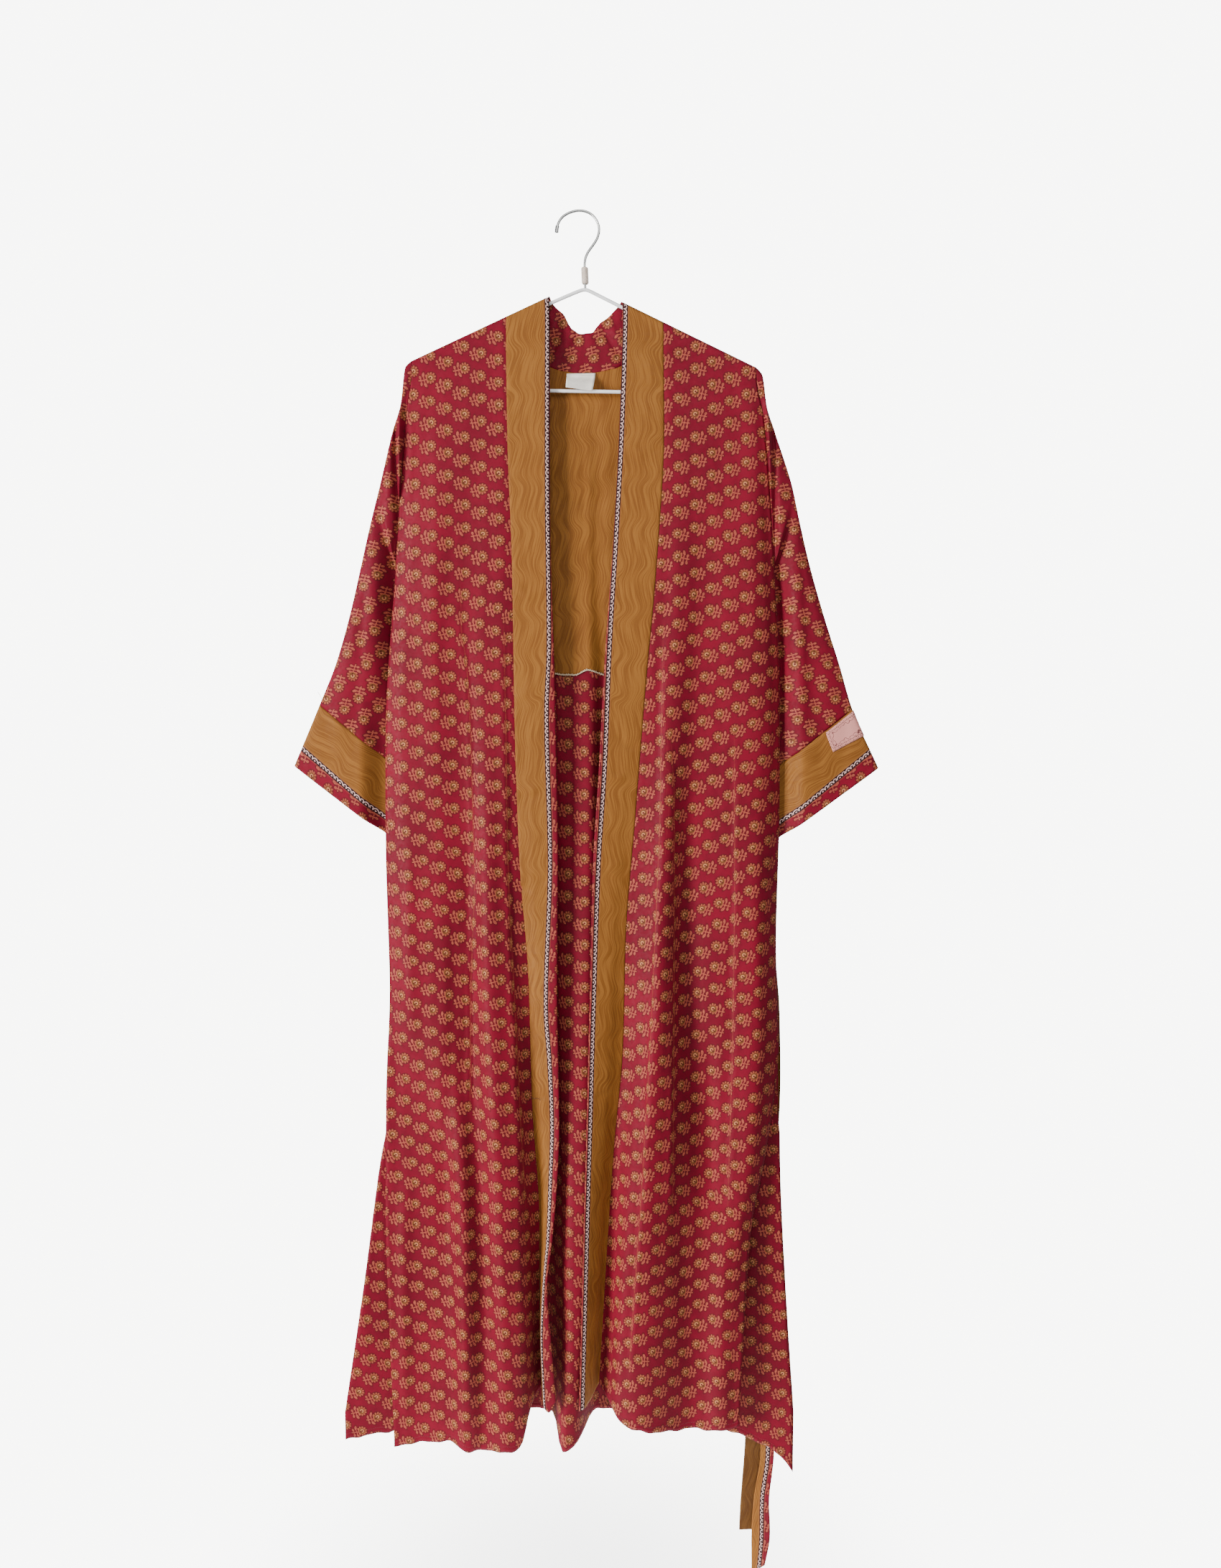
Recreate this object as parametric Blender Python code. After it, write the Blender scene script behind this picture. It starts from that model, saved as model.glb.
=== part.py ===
"""A kimono hung open on a rod hanger.

The origin is the inner top of the hanger's hook. Z points up, X to the viewer's right, and the
front of the garment faces -Y. Sides are named by the wearer: the wearer's right is at -X.
Every panel is one closed cloth wall, built from lines that run down the cloth. Each line has a
place across and a depth at a few heights. All tables are in millimetres.
"""
import bpy
import numpy as np

for thing in list(bpy.data.objects):
    bpy.data.objects.remove(thing, do_unlink=True)

MM = 0.001

# Cloth walls and seams
WALL = 1.2
BAND_WALL = 1.8
YOKE_WALL = 1.0
YOKE_EDGE = -531.0
YOKE_PEAK = 5.0
YOKE_FIRST = 5
YOKE_GAP = 0.5
PATCH_WALL = 1.0
LABEL_WALL = 1.0
SEAM_GAP = 0.3

# Hanger
ARM_RADIUS = 2.6
WIRE_RADIUS = 1.5
TIP_RADIUS = 2.3
COLLAR_RADIUS = 4.0
COLLAR_BORE = 1.9
APEX = (6.5, -86.0)

# Shoulder lines: height of the cloth's crest at the middle, and fall per millimetre outwards
CREST_RIGHT = (-78.5, 0.455)
CREST_LEFT = (-77.5, 0.475)

# The cloth folds over the arm: half width of the fold, its depth, and the fall to its own depth
ARM_REACH = 4.8
ARM_FALL = 5.2
EASE_FALL = 60.0

# Sleeves
FOLD_RADIUS = 3.6
UNDERARM_DEPTH = 2.2
BEHIND_GAP = 5.0

# Belt
BELT_WALL = 1.2


def ease(v):
    """Smooth step from 0 to 1."""
    v = np.clip(v, 0.0, 1.0)
    return v * v * (3.0 - 2.0 * v)


def mix(a, b, v):
    return a + (b - a) * v


def curve(x, y, value, level_ends=False):
    """A smooth curve through points that never swings past them."""
    h = np.diff(x)
    d = np.diff(y) / h
    m = np.zeros(len(x))
    if not level_ends:
        m[0] = d[0]
        m[-1] = d[-1]
    for k in range(1, len(x) - 1):
        if d[k - 1] * d[k] > 0.0:
            a = 2.0 * h[k] + h[k - 1]
            b = h[k] + 2.0 * h[k - 1]
            m[k] = (a + b) / (a / d[k - 1] + b / d[k])
    value = float(np.clip(value, x[0], x[-1]))
    k = int(np.clip(np.searchsorted(x, value, side="right") - 1, 0, len(x) - 2))
    u = (value - x[k]) / h[k]
    first = (1.0 + 2.0 * u) * (1.0 - u) ** 2 * y[k] + u * u * (3.0 - 2.0 * u) * y[k + 1]
    return first + h[k] * u * (1.0 - u) * ((1.0 - u) * m[k] - u * m[k + 1])


class Table:
    """Rows of named columns, read along a smooth curve through the first column."""

    def __init__(self, names, rows):
        self.names = names.split()
        self.rows = np.array(sorted(rows), float)

    def at(self, name, value):
        return curve(self.rows[:, 0], self.rows[:, self.names.index(name)], value)


class Panel:
    """Lines down a piece of cloth: each has a place across and a depth at every height."""

    def __init__(self, lines, rows):
        self.lines = lines.split()
        names = "z " + " ".join(name + "_x " + name + "_y" for name in self.lines)
        self.table = Table(names, rows)

    def x(self, line, z):
        return self.table.at(line + "_x", z)

    def depth(self, x, z):
        pairs = sorted((self.x(name, z), self.table.at(name + "_y", z)) for name in self.lines)
        xs = np.array([pair[0] for pair in pairs])
        ys = np.array([pair[1] for pair in pairs])
        return curve(xs, ys, x, level_ends=True)


def crest(x):
    """Height of the cloth where it lies over the hanger's arms."""
    if x < APEX[0]:
        return CREST_RIGHT[0] + CREST_RIGHT[1] * x
    return CREST_LEFT[0] - CREST_LEFT[1] * x


def over_arm(x, z, depth):
    """Depth of the cloth: round over the arm, then easing to the panel's own depth."""
    fall = crest(x) - z
    rise = max(0.0, 1.0 - max(0.0, fall) / ARM_FALL)
    bend = max(SEAM_GAP / 2.0, ARM_REACH * np.sqrt(1.0 - rise * rise))
    return mix(bend, abs(depth), ease(fall / EASE_FALL))


# Panels: a row per section across the cloth, the lines in order from the side to the band
FRONT_LINES = "side groove belly crease ridge edge seam"

FRONT_RIGHT = Panel(FRONT_LINES, (
    (-160, -195.0, -4.5, -178, -6.0, -160, -6.5, -140, -6.5, -115, -7.0, -100, -7.0, -85.5, -8.0),
    (-250, -204.1, -5.0, -186, -8.0, -165, -9.0, -142, -9.0, -116, -9.5, -100, -9.5, -84.7, -10.0),
    (-400, -217.5, -2.6, -198, -9.5, -170, -12, -141, -10.5, -113, -12, -97, -12.0, -80.2, -11.0),
    (-600, -233.0, -1.6, -212, -10., -175, -14, -138, -10.5, -110, -15, -95, -14.0, -78.0, -12.0),
    (-750, -235.0, -1.6, -214, -10., -172, -15, -135, -11.0, -110, -20, -94, -17.0, -73.6, -12.0),
    (-900, -233.0, -1.6, -212, -9.0, -165, -16, -134, -11.0, -110, -23, -88, -20.0, -63.5, -11.0),
    (-1050, -239.0, -3.0, -190, -9.5, -155, -20, -132, -13.0, -104, -28, -80, -24.0, -60.5, -7.0),
    (-1200, -241.0, -7.0, -163, -15., -143, -25, -124, -18.0, -98, -33, -76, -29.0, -52.5, -2.0),
    (-1330, -238.5, -9.0, -163, -17., -141, -30, -120, -23.0, -93, -38, -71.5, -32., -53.5, 3.0),
    (-1480, -234.0, -12., -164, -20., -140, -35, -121, -29.0, -92, -43, -66.5, -34., -50.0, 4.0),
))

FRONT_LEFT = Panel(FRONT_LINES, (
    (-160, 204.5, -4.5, 192, -6.0, 182, -6.5, 160, -6.5, 120, -7.0, 108, -7.5, 97.0, -8.0),
    (-250, 215.7, -5.0, 203, -8.0, 190, -9.0, 158, -9.0, 118, -10, 107, -10., 98.0, -10.0),
    (-400, 228.2, -2.6, 212, -9.5, 198, -12, 150, -9.5, 114, -13, 101, -12., 90.0, -12.0),
    (-550, 237.0, -1.6, 222, -10., 208, -13, 140, -9.5, 107, -16, 92.0, -13., 77.0, -12.0),
    (-700, 238.5, -1.6, 224, -11., 210, -15, 132, -9.0, 102, -20, 83.0, -15., 65.3, -12.0),
    (-850, 236.3, -1.6, 223, -12., 211, -17, 128, -8.5, 98, -24, 78.0, -18., 54.0, -10.0),
    (-980, 241.0, -2.0, 226, -12., 212, -18, 137, -8.0, 95, -27, 74.5, -20., 51.0, -7.0),
    (-1110, 226.5, -6.0, 218, -12., 206, -17, 150, -8.5, 91.5, -30, 66.0, -24., 40.0, -3.0),
    (-1210, 208.6, -10., 202, -13., 192, -17, 149, -9.5, 84, -32, 58.5, -26., 33.5, 1.0),
    (-1330, 201.0, -12., 195, -14., 184, -17, 146, -10., 76, -34, 50.0, -27., 26.5, 5.0),
    (-1480, 195.0, -14., 188, -15., 176, -18, 142, -12., 71, -36, 43.0, -28., 18.0, 8.0),
))

BACK = Panel("right outer foot crest edge hollow inner left", (
    (-190, -195.5, 4.5, -150, 7.0, -60, 8.5, -15, 9.0, 5.0, 9.0, 22, 9.5, 140, 7.0, 206.5, 4.5),
    (-250, -204.1, 5.0, -150, 9.0, -60, 10., -15, 10., 5.0, 10., 25, 11., 145, 9.0, 215.7, 5.0),
    (-400, -217.5, 2.6, -155, 10., -58, 12., -15, 10., 6.0, 10., 28, 13., 150, 10., 228.2, 2.6),
    (-550, -230.5, 1.6, -160, 11., -55, 13., -15, 8.0, 8.0, 6.0, 30, 15., 150, 11., 237.0, 1.6),
    (-700, -235.0, 1.6, -160, 12., -55, 14., -14, 4.0, 10., 1.0, 32, 16., 150, 12., 238.5, 1.6),
    (-850, -234.0, 1.6, -160, 12., -54, 15., -14, -1., 9.5, -4., 32, 18., 150, 13., 236.3, 1.6),
    (-1010, -230.0, 1.6, -165, 13., -51, 17., -14, -7., 7.5, -9., 30, 20., 150, 14., 242.0, 2.0),
    (-1150, -252.0, 6.0, -170, 15., -45, 20., -11, -13, 4.0, -14, 27, 22., 155, 15., 246.0, 6.0),
    (-1300, -274.0, 9.0, -175, 17., -43, 22., -11, -18, 1.5, -17, 23, 25., 160, 16., 255.0, 10.0),
    (-1460, -300.0, 12., -180, 18., -43, 23., -21, -26, -8., -23, 21, 26., 165, 16., 267.0, 12.0),
))

# Hems: place across and height
HEM_FRONT_RIGHT = Table("x z", (
    (-234, -1488), (-163, -1466), (-133, -1482), (-106, -1484),
    (-83, -1481), (-69, -1462), (-60, -1436), (-50, -1422),
))
HEM_FRONT_LEFT = Table("x z", (
    (18, -1420), (43, -1436), (58, -1448), (73, -1462),
    (93, -1470), (133, -1462), (181, -1465), (196, -1462),
))
HEM_BACK = Table("x z", (
    (-300, -1496), (-245, -1487), (-160, -1472), (-72, -1461),
    (-22, -1474), (12, -1463), (100, -1472), (205, -1493), (240, -1511), (267, -1530),
))

# Bands: place across and depth of the scroll line, and the same of the free edge
BAND_RIGHT = Table("z scroll_x scroll_y free_x free_y", (
    (-95, -38.5, -7.0, -35.2, -7.0),
    (-127, -37.4, -8.0, -31.0, -8.0),
    (-250, -38.0, -11., -29.5, -11.),
    (-331, -38.2, -12., -29.5, -12.),
    (-500, -36.8, -13., -27.0, -13.),
    (-582, -40.1, -14., -29.0, -14.),
    (-754, -36.5, -16., -26.9, -17.),
    (-928, -42.3, -18., -28.4, -20.),
    (-1000, -38.0, -18., -27.0, -20.),
    (-1080, -35.5, -16., -26.4, -19.),
    (-1150, -38.0, -17., -29.5, -20.),
    (-1215, -41.0, -20., -35.0, -23.),
    (-1280, -47.0, -24., -42.0, -27.),
    (-1340, -49.5, -26., -37.5, -30.),
    (-1430, -46.0, -29., -30.5, -33.),
))
BAND_LEFT = Table("z scroll_x scroll_y free_x free_y", (
    (-99, 53.0, -7.0, 48.1, -7.0),
    (-127, 52.8, -8.0, 47.0, -8.0),
    (-249, 49.0, -11., 44.0, -11.),
    (-502, 34.5, -13., 29.5, -13.5),
    (-640, 28.8, -15., 21.8, -16.),
    (-762, 21.0, -17., 14.5, -18.),
    (-928, 15.3, -19., 10.3, -20.),
    (-1070, 11.2, -21., 6.7, -22.),
    (-1196, 7.5, -23., 3.0, -24.),
    (-1440, 1.0, -26., -3.5, -27.),
))
BAND_HEM_RIGHT = Table("s z", ((0, -1422), (0.5, -1434), (1, -1420)))
BAND_HEM_LEFT = Table("s z", ((0, -1420), (0.6, -1432), (1, -1436)))

# Back neckband: a place on the neck seam, its height, and the place of the free top edge above
NECKBAND = Table("x z top_x top_z", (
    (-85.5, -117.4, -35.2, -94.5),
    (-78.5, -125.0, -32.0, -98.5),
    (-70.0, -139.0, -27.5, -105.5),
    (-55.0, -159.0, -20.5, -113.0),
    (-32.0, -175.0, -10.0, -124.5),
    (5.00, -181.0, 6.5, -135.5),
    (38.0, -175.5, 20.5, -127.5),
    (63.0, -162.0, 33.0, -117.0),
    (81.0, -144.0, 41.0, -108.5),
    (90.0, -130.5, 44.5, -104.5),
    (97.0, -123.6, 48.1, -100.4),
))
NECK_ENDS = (-85.5, 97.0)
BACK_TOP = (-195.0, 204.5)
SIDE_SEAM_END = -1000.0
NECK_GAP = 0.4

# Sleeves: t runs from the shoulder's end (0) down past the armhole's end to the cuff's seam (1)
# and on to the open end. The top line is the fold, the under line is the armhole, then the seam.
ARMHOLE_END = 0.37
SLEEVE_NAMES = "t top_x top_z under_x under_z belly"
SLEEVE_RIGHT = Table(SLEEVE_NAMES, (
    (0.00, -195.3, -167.4, -195.5, -173.0, 4.8),
    (0.02, -200.0, -170.8, -196.3, -184.0, 4.9),
    (0.05, -203.5, -175.5, -198.6, -205.0, 5.2),
    (0.09, -205.4, -187.0, -201.2, -226.0, 5.5),
    (0.15, -208.5, -213.0, -206.5, -264.0, 6.0),
    (0.25, -219.4, -249.0, -212.2, -322.0, 6.5),
    (0.37, -235.8, -313.0, -217.8, -400.0, 7.0),
    (0.42, -242.3, -337.0, -220.5, -425.0, 7.3),
    (0.47, -248.8, -362.0, -217.0, -447.0, 7.5),
    (0.55, -257.5, -398.0, -203.0, -488.0, 8.0),
    (0.70, -273.5, -462.0, -173.0, -580.0, 8.5),
    (0.85, -291.0, -519.0, -146.0, -664.0, 9.0),
    (1.00, -311.0, -567.0, -128.0, -722.0, 9.0),
    (1.17, -342.7, -639.8, -152.0, -786.5, 9.5),
))
SLEEVE_LEFT = Table(SLEEVE_NAMES, (
    (0.00, 204.8, -174.8, 205.0, -180.4, 4.8),
    (0.02, 209.2, -178.8, 206.3, -192.0, 4.9),
    (0.05, 212.8, -184.5, 209.0, -212.0, 5.2),
    (0.09, 214.7, -196.0, 211.7, -232.0, 5.5),
    (0.15, 217.6, -217.0, 217.0, -268.0, 6.0),
    (0.25, 228.0, -249.0, 222.5, -324.0, 6.5),
    (0.37, 249.4, -313.0, 228.5, -400.0, 7.0),
    (0.42, 254.8, -337.0, 231.2, -425.0, 7.3),
    (0.47, 260.6, -362.0, 228.0, -447.0, 7.5),
    (0.55, 269.5, -398.0, 214.0, -488.0, 8.0),
    (0.70, 288.5, -462.0, 184.0, -580.0, 8.5),
    (0.85, 307.5, -519.0, 156.0, -664.0, 9.0),
    (1.00, 324.0, -572.5, 136.0, -722.0, 9.0),
    (1.17, 356.2, -642.3, 158.0, -786.5, 9.5),
))

# Belt: from the end of the longer strand up over its carrier and down to the other end
BELT = Table("along x y z width", (
    (0, 225.5, 20.0, -1682, 17.0),
    (60, 228.0, 20.0, -1630, 24.0),
    (110, 229.0, 20.0, -1585, 20.0),
    (180, 235.0, 20.0, -1520, 17.0),
    (400, 233.5, 18.5, -1300, 24.0),
    (700, 235.5, 15.0, -1000, 25.0),
    (830, 226.0, 12.6, -870, 21.0),
    (872, 224.0, 12.5, -828, 20.0),
    (876, 224.0, 13.2, -824.4, 20.0),
    (879, 224.0, 15.0, -822.6, 20.0),
    (882, 224.0, 16.8, -824.4, 20.0),
    (886, 224.0, 17.5, -828, 20.0),
    (928, 223.5, 18.2, -870, 21.0),
    (1058, 224.0, 20.5, -1000, 24.0),
    (1358, 223.0, 24.0, -1300, 25.0),
    (1558, 220.0, 25.0, -1500, 25.0),
    (1686, 213.5, 25.0, -1628, 25.0),
))

# Stations: shares of the way across or down a piece
FIRST_FALLS = (0.0, 0.0004, 0.0012, 0.0024, 0.0039, 0.0090, 0.0200, 0.0400)
FRONT_ACROSS = (0, 0.035, 0.08, 0.14, 0.21, 0.29, 0.37, 0.45, 0.52, 0.58, 0.635, 0.685, 0.73,
                0.77, 0.81, 0.845, 0.88, 0.91, 0.94, 0.97, 1)
BAND_ACROSS = (0, 0.12, 0.26, 0.4, 0.54, 0.68, 0.8, 0.9, 1)
ROUND_SLEEVE = (0.004, 0.012, 0.024, 0.05, 0.1, 0.19, 0.3, 0.42, 0.54, 0.66, 0.78, 0.89, 1)
DOWN_SLEEVE = (0, 0.02, 0.05, 0.09, 0.15, 0.2, 0.25, 0.31, 0.37, 0.42, 0.47, 0.55, 0.64, 0.73,
               0.82, 0.91, 1)
DOWN_CUFF = (1, 1.06, 1.115, 1.17)
SLEEVE_SEAM = 0.00045


def falls(count):
    """Shares of the way down: close together over the arm, even below."""
    rest = [mix(FIRST_FALLS[-1], 1.0, k / count) for k in range(1, count + 1)]
    return list(FIRST_FALLS) + rest


def back_across():
    """Places across the back's top: close at the neck's corners and above the centre pleat."""
    right = [-195.0, -187.0, -175.0, -155.0, -130.0, -106.0, -85.5, -84.0, -81.4, -77.0, -70.0]
    pleat = [mix(-62.0, 46.0, k / 15.0) for k in range(16)]
    left = [55.0, 65.0, 74.0, 82.0, 88.5, 92.9, 95.5, 97.0]
    outer = [116.0, 140.0, 164.0, 185.0, 197.0, 204.5]
    return right + pleat + left + outer


def side_x(panel, z):
    """Place of the side edge: it starts square at the shoulder's end."""
    first = panel.x("side", -160)
    return mix(first, panel.x("side", z), ease((crest(first) - z) / EASE_FALL))


def front_point(panel, hem, s, t):
    """A point of a front panel's outer face: s from the side to the band, t down."""
    lean = np.sign(panel.x("seam", -160) - panel.x("side", -160))
    first = mix(panel.x("side", -160), panel.x("seam", -160) - lean * SEAM_GAP / 2.0, s)
    foot = hem.at("z", mix(panel.x("side", -1480), panel.x("seam", -1480), s))
    z = mix(crest(first), foot, t)
    x = mix(panel.x("side", z), panel.x("seam", z) - lean * SEAM_GAP / 2.0, s)
    x = mix(first, x, ease((crest(first) - z) / EASE_FALL))
    drape = panel.depth(x, z)
    if drape > -3.0 and crest(x) - z > EASE_FALL:
        return x, drape, z
    return x, -over_arm(x, z, drape), z


def band_point(panel, band, hem, s, t):
    """A point of a front band's outer face: s from its seam to its free edge, t down."""
    lean = np.sign(panel.x("seam", -160) - panel.x("side", -160))
    seam_top = panel.x("seam", -160) + lean * SEAM_GAP / 2.0
    first = mix(seam_top, band.at("free_x", -95), s)
    z = mix(crest(first), hem.at("z", s), t)
    seam = panel.x("seam", z) + lean * SEAM_GAP / 2.0
    scroll = band.at("scroll_x", z)
    free = band.at("free_x", z)
    x = mix(seam, free, s)
    x = mix(first, x, ease((crest(first) - z) / EASE_FALL))
    seam_y = panel.depth(panel.x("seam", z), z)
    xs = [lean * seam, lean * mix(seam, scroll, 0.5), lean * scroll, lean * free]
    ys = [seam_y, mix(seam_y, band.at("scroll_y", z), 0.62),
          band.at("scroll_y", z), band.at("free_y", z)]
    drape = curve(np.array(xs), np.array(ys), lean * x, level_ends=True)
    if drape > -3.0 and crest(x) - z > EASE_FALL:
        return x, drape, z
    return x, -over_arm(x, z, drape), z


def neck_z(x):
    """Height of the back neck seam, or of the shoulder beyond it."""
    if x <= NECK_ENDS[0] or x >= NECK_ENDS[1]:
        return crest(x)
    return min(crest(x), NECKBAND.at("z", x))


def over_neck(points):
    """Normals of the back's outer face at a few of its points, square to the seams."""
    out = []
    for x, y, z in points:
        if crest(x) - z < 0.1:
            out.append((0.0, 0.0, 1.0))
            continue
        across = (back_depth(x + 0.3, z) - back_depth(x - 0.3, z)) / 0.6
        up = (back_depth(x, z + 0.3) - back_depth(x, z - 0.3)) / 0.6
        out.append(np.array((-across, 1.0, -up)) / np.sqrt(across ** 2 + 1.0 + up ** 2))
    return np.array(out)


def back_depth(x, z):
    drape = BACK.depth(x, z)
    if crest(x) - z > EASE_FALL:
        return drape
    return over_arm(x, z, drape)


def back_point(x_top, t):
    """A point of the back panel's outer face, from its place at the top and the share down."""
    s = (x_top - BACK_TOP[0]) / (BACK_TOP[1] - BACK_TOP[0])
    top = neck_z(x_top)
    if top < crest(x_top) - 0.01:
        slope = (neck_z(x_top + 0.5) - neck_z(x_top - 0.5)) / 1.0
        top -= NECK_GAP * np.sqrt(1.0 + slope * slope)
    foot = HEM_BACK.at("z", mix(BACK.x("right", -1460), BACK.x("left", -1460), s))
    z = mix(top, foot, t)
    free = ease((SIDE_SEAM_END - z) / 100.0)
    right = mix(FRONT_RIGHT.x("side", z), BACK.x("right", z), free)
    left = mix(FRONT_LEFT.x("side", z), BACK.x("left", z), free)
    x = mix(x_top, mix(right, left, s), ease((crest(x_top) - z) / EASE_FALL))
    return x, back_depth(x, z), z


def neckband_point(seam_x, t):
    """A point of the neckband's outer face: t from the neck seam to the free top edge."""
    start = float(np.clip(seam_x, NECK_ENDS[0] + NECK_GAP, NECK_ENDS[1] - NECK_GAP))
    x = mix(start, NECKBAND.at("top_x", seam_x), t)
    z = min(crest(x), mix(NECKBAND.at("z", seam_x), NECKBAND.at("top_z", seam_x), t))
    if seam_x in NECK_ENDS:
        z = crest(x)
    return x, back_depth(x, z), z


def sleeve_point(table, panel, a, t):
    """A point of a sleeve's outer face: a from the front under edge round to the back one."""
    s = abs(a)
    top = np.array((table.at("top_x", t), table.at("top_z", t)))
    under = np.array((table.at("under_x", t), table.at("under_z", t)))
    lean = np.sign(under[0])
    if t <= ARMHOLE_END:
        under[0] = side_x(panel, under[1]) + lean * SEAM_GAP
    x, z = mix(top, under, s)
    width = float(np.hypot(*(under - top)))
    radius = mix(ARM_REACH, FOLD_RADIUS, ease(t / 0.1))
    reach = max(0.0, 1.0 - s * width / radius)
    depth = radius * np.sqrt(1.0 - reach * reach)
    depth += (table.at("belly", t) - radius) * np.sin(np.pi * s)
    edge = over_arm(under[0], under[1], panel.table.at("side_y", under[1]))
    edge = mix(edge, UNDERARM_DEPTH, ease((t - 0.3) / (ARMHOLE_END - 0.3)))
    depth = mix(depth, edge, ease((s - 0.75) / 0.25))
    inside = lean * (panel.x("side", z) - x)
    behind = BACK.depth(x, z) + depth + BEHIND_GAP
    middle = behind * ease((inside + 45.0) / 43.0) * ease((t - ARMHOLE_END) / 0.055)
    return x, middle + np.sign(a) * depth, z


def round_ways():
    """Shares of the way round a sleeve, from the front underarm edge to the back one."""
    return [-v for v in reversed(ROUND_SLEEVE)] + [0.0] + list(ROUND_SLEEVE)


def grid(point, across, down):
    return np.array([[point(s, t) for t in down] for s in across], float)


def tangents(points):
    """Tangents along the first axis of a grid: a short step counts more than a long one."""
    step = np.diff(points, axis=0)
    step /= (step ** 2).sum(axis=2, keepdims=True)
    out = np.zeros_like(points)
    out[:-1] += step
    out[1:] += step
    return out


def normals(points):
    """Unit normals of a grid of points."""
    along = tangents(points)
    down = tangents(points.transpose(1, 0, 2)).transpose(1, 0, 2)
    n = np.cross(along, down)
    return n / np.linalg.norm(n, axis=2, keepdims=True)


def material(name, colour, roughness, metallic=0.0):
    made = bpy.data.materials.new(name)
    made.use_nodes = True
    shader = made.node_tree.nodes["Principled BSDF"]
    shader.inputs["Base Color"].default_value = (*colour, 1.0)
    shader.inputs["Roughness"].default_value = roughness
    shader.inputs["Metallic"].default_value = metallic
    return made


def make(name, points, faces, colour, roughness, metallic=0.0):
    mesh = bpy.data.meshes.new(name)
    mesh.from_pydata([tuple(float(v) * MM for v in p) for p in points], [], faces)
    mesh.materials.append(material(name + "_finish", colour, roughness, metallic))
    mesh.validate()
    mesh.update()
    made = bpy.data.objects.new(name, mesh)
    bpy.context.scene.collection.objects.link(made)
    return made


def wall(name, outer, thickness, sign, colour, roughness, seams=""):
    """A closed cloth wall: the outer grid, the same grid moved inwards, and the rims.

    The rim at a named seam stands square to the seam: "first" and "last" are the ends of the
    first axis, "top" is the shoulder, "neck" is the back neck seam, "ends" are the neckband's
    ends on the shoulders and "armhole" is the start of a sleeve.
    """
    n = normals(outer) * sign
    if "first" in seams:
        n[0, :, 0] = 0.0
    if "last" in seams:
        n[-1, :, 0] = 0.0
    if "armhole" in seams:
        n[:, 0, 0] = 0.0
    n /= np.linalg.norm(n, axis=2, keepdims=True)
    if "top" in seams:
        n[:, 0, :] = (0.0, 0.0, 1.0)
    if "neck" in seams:
        n[:, 0, :] = over_neck(outer[:, 0, :])
    if "ends" in seams:
        n[0, :, :] = (0.0, 0.0, 1.0)
        n[-1, :, :] = (0.0, 0.0, 1.0)
    inner = outer - n * thickness
    rows, columns = outer.shape[:2]
    points = list(outer.reshape(-1, 3)) + list(inner.reshape(-1, 3))
    shift = rows * columns
    faces = []

    def put(a, b, c, d):
        faces.append((a, b, c, d) if sign > 0 else (d, c, b, a))

    for i in range(rows - 1):
        for j in range(columns - 1):
            a = i * columns + j
            b = a + columns
            put(a, b, b + 1, a + 1)
            put(shift + a, shift + a + 1, shift + b + 1, shift + b)
    for i in range(rows - 1):
        a = i * columns
        b = a + columns
        put(a, shift + a, shift + b, b)
        c = a + columns - 1
        d = b + columns - 1
        put(c, d, shift + d, shift + c)
    for j in range(columns - 1):
        a = j
        put(a, a + 1, shift + a + 1, shift + a)
        c = (rows - 1) * columns + j
        put(c, shift + c, shift + c + 1, c + 1)
    return make(name, points, faces, colour, roughness)


def tube(name, path, radii, sides, closed, colour, roughness, metallic=0.0, bore=None):
    """A round rod along a path in the XZ plane, or in any plane with a steady side direction."""
    path = np.array(path, float)
    count = len(path)
    if closed:
        tangent = np.roll(path, -1, axis=0) - np.roll(path, 1, axis=0)
    else:
        tangent = np.gradient(path, axis=0)
    tangent /= np.linalg.norm(tangent, axis=1, keepdims=True)
    flat = np.array((0.0, 1.0, 0.0))
    side = np.cross(tangent, flat)
    side /= np.linalg.norm(side, axis=1, keepdims=True)
    points = []
    for k in range(count):
        for j in range(sides):
            angle = 2.0 * np.pi * (j + 0.5) / sides
            spread = np.cos(angle) * side[k] + np.sin(angle) * flat
            points.append(path[k] + radii[k] * spread)
    faces = []
    for k in range(count if closed else count - 1):
        for j in range(sides):
            a = k * sides + j
            b = k * sides + (j + 1) % sides
            c = ((k + 1) % count) * sides + (j + 1) % sides
            d = ((k + 1) % count) * sides + j
            faces.append((d, c, b, a))
    if not closed:
        faces.append(tuple(range(sides)))
        faces.append(tuple((count - 1) * sides + j for j in reversed(range(sides))))
    return make(name, points, faces, colour, roughness, metallic)


def smooth_path(points, parts, closed):
    """Rounded path through a few points, in the XZ plane."""
    points = np.array(points, float)
    count = len(points)
    out = []
    for k in range(count if closed else count - 1):
        if closed:
            p = [points[(k + d) % count] for d in (-1, 0, 1, 2)]
        else:
            p = [points[int(np.clip(k + d, 0, count - 1))] for d in (-1, 0, 1, 2)]
        for j in range(parts[k]):
            u = j / parts[k]
            a = 2.0 * p[1] + (p[2] - p[0]) * u
            b = (2.0 * p[0] - 5.0 * p[1] + 4.0 * p[2] - p[3]) * u * u
            c = (3.0 * p[1] - p[0] - 3.0 * p[2] + p[3]) * u ** 3
            out.append(0.5 * (a + b + c))
    if not closed:
        out.append(points[-1])
    return [(p[0], 0.0, p[1]) for p in out]


RED = (0.36, 0.012, 0.038)
OCHRE = (0.33, 0.15, 0.030)
PINK = (0.50, 0.22, 0.19)
WHITE = (0.80, 0.79, 0.76)
BEIGE = (0.62, 0.52, 0.38)
STEEL = (0.60, 0.60, 0.58)

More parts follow.
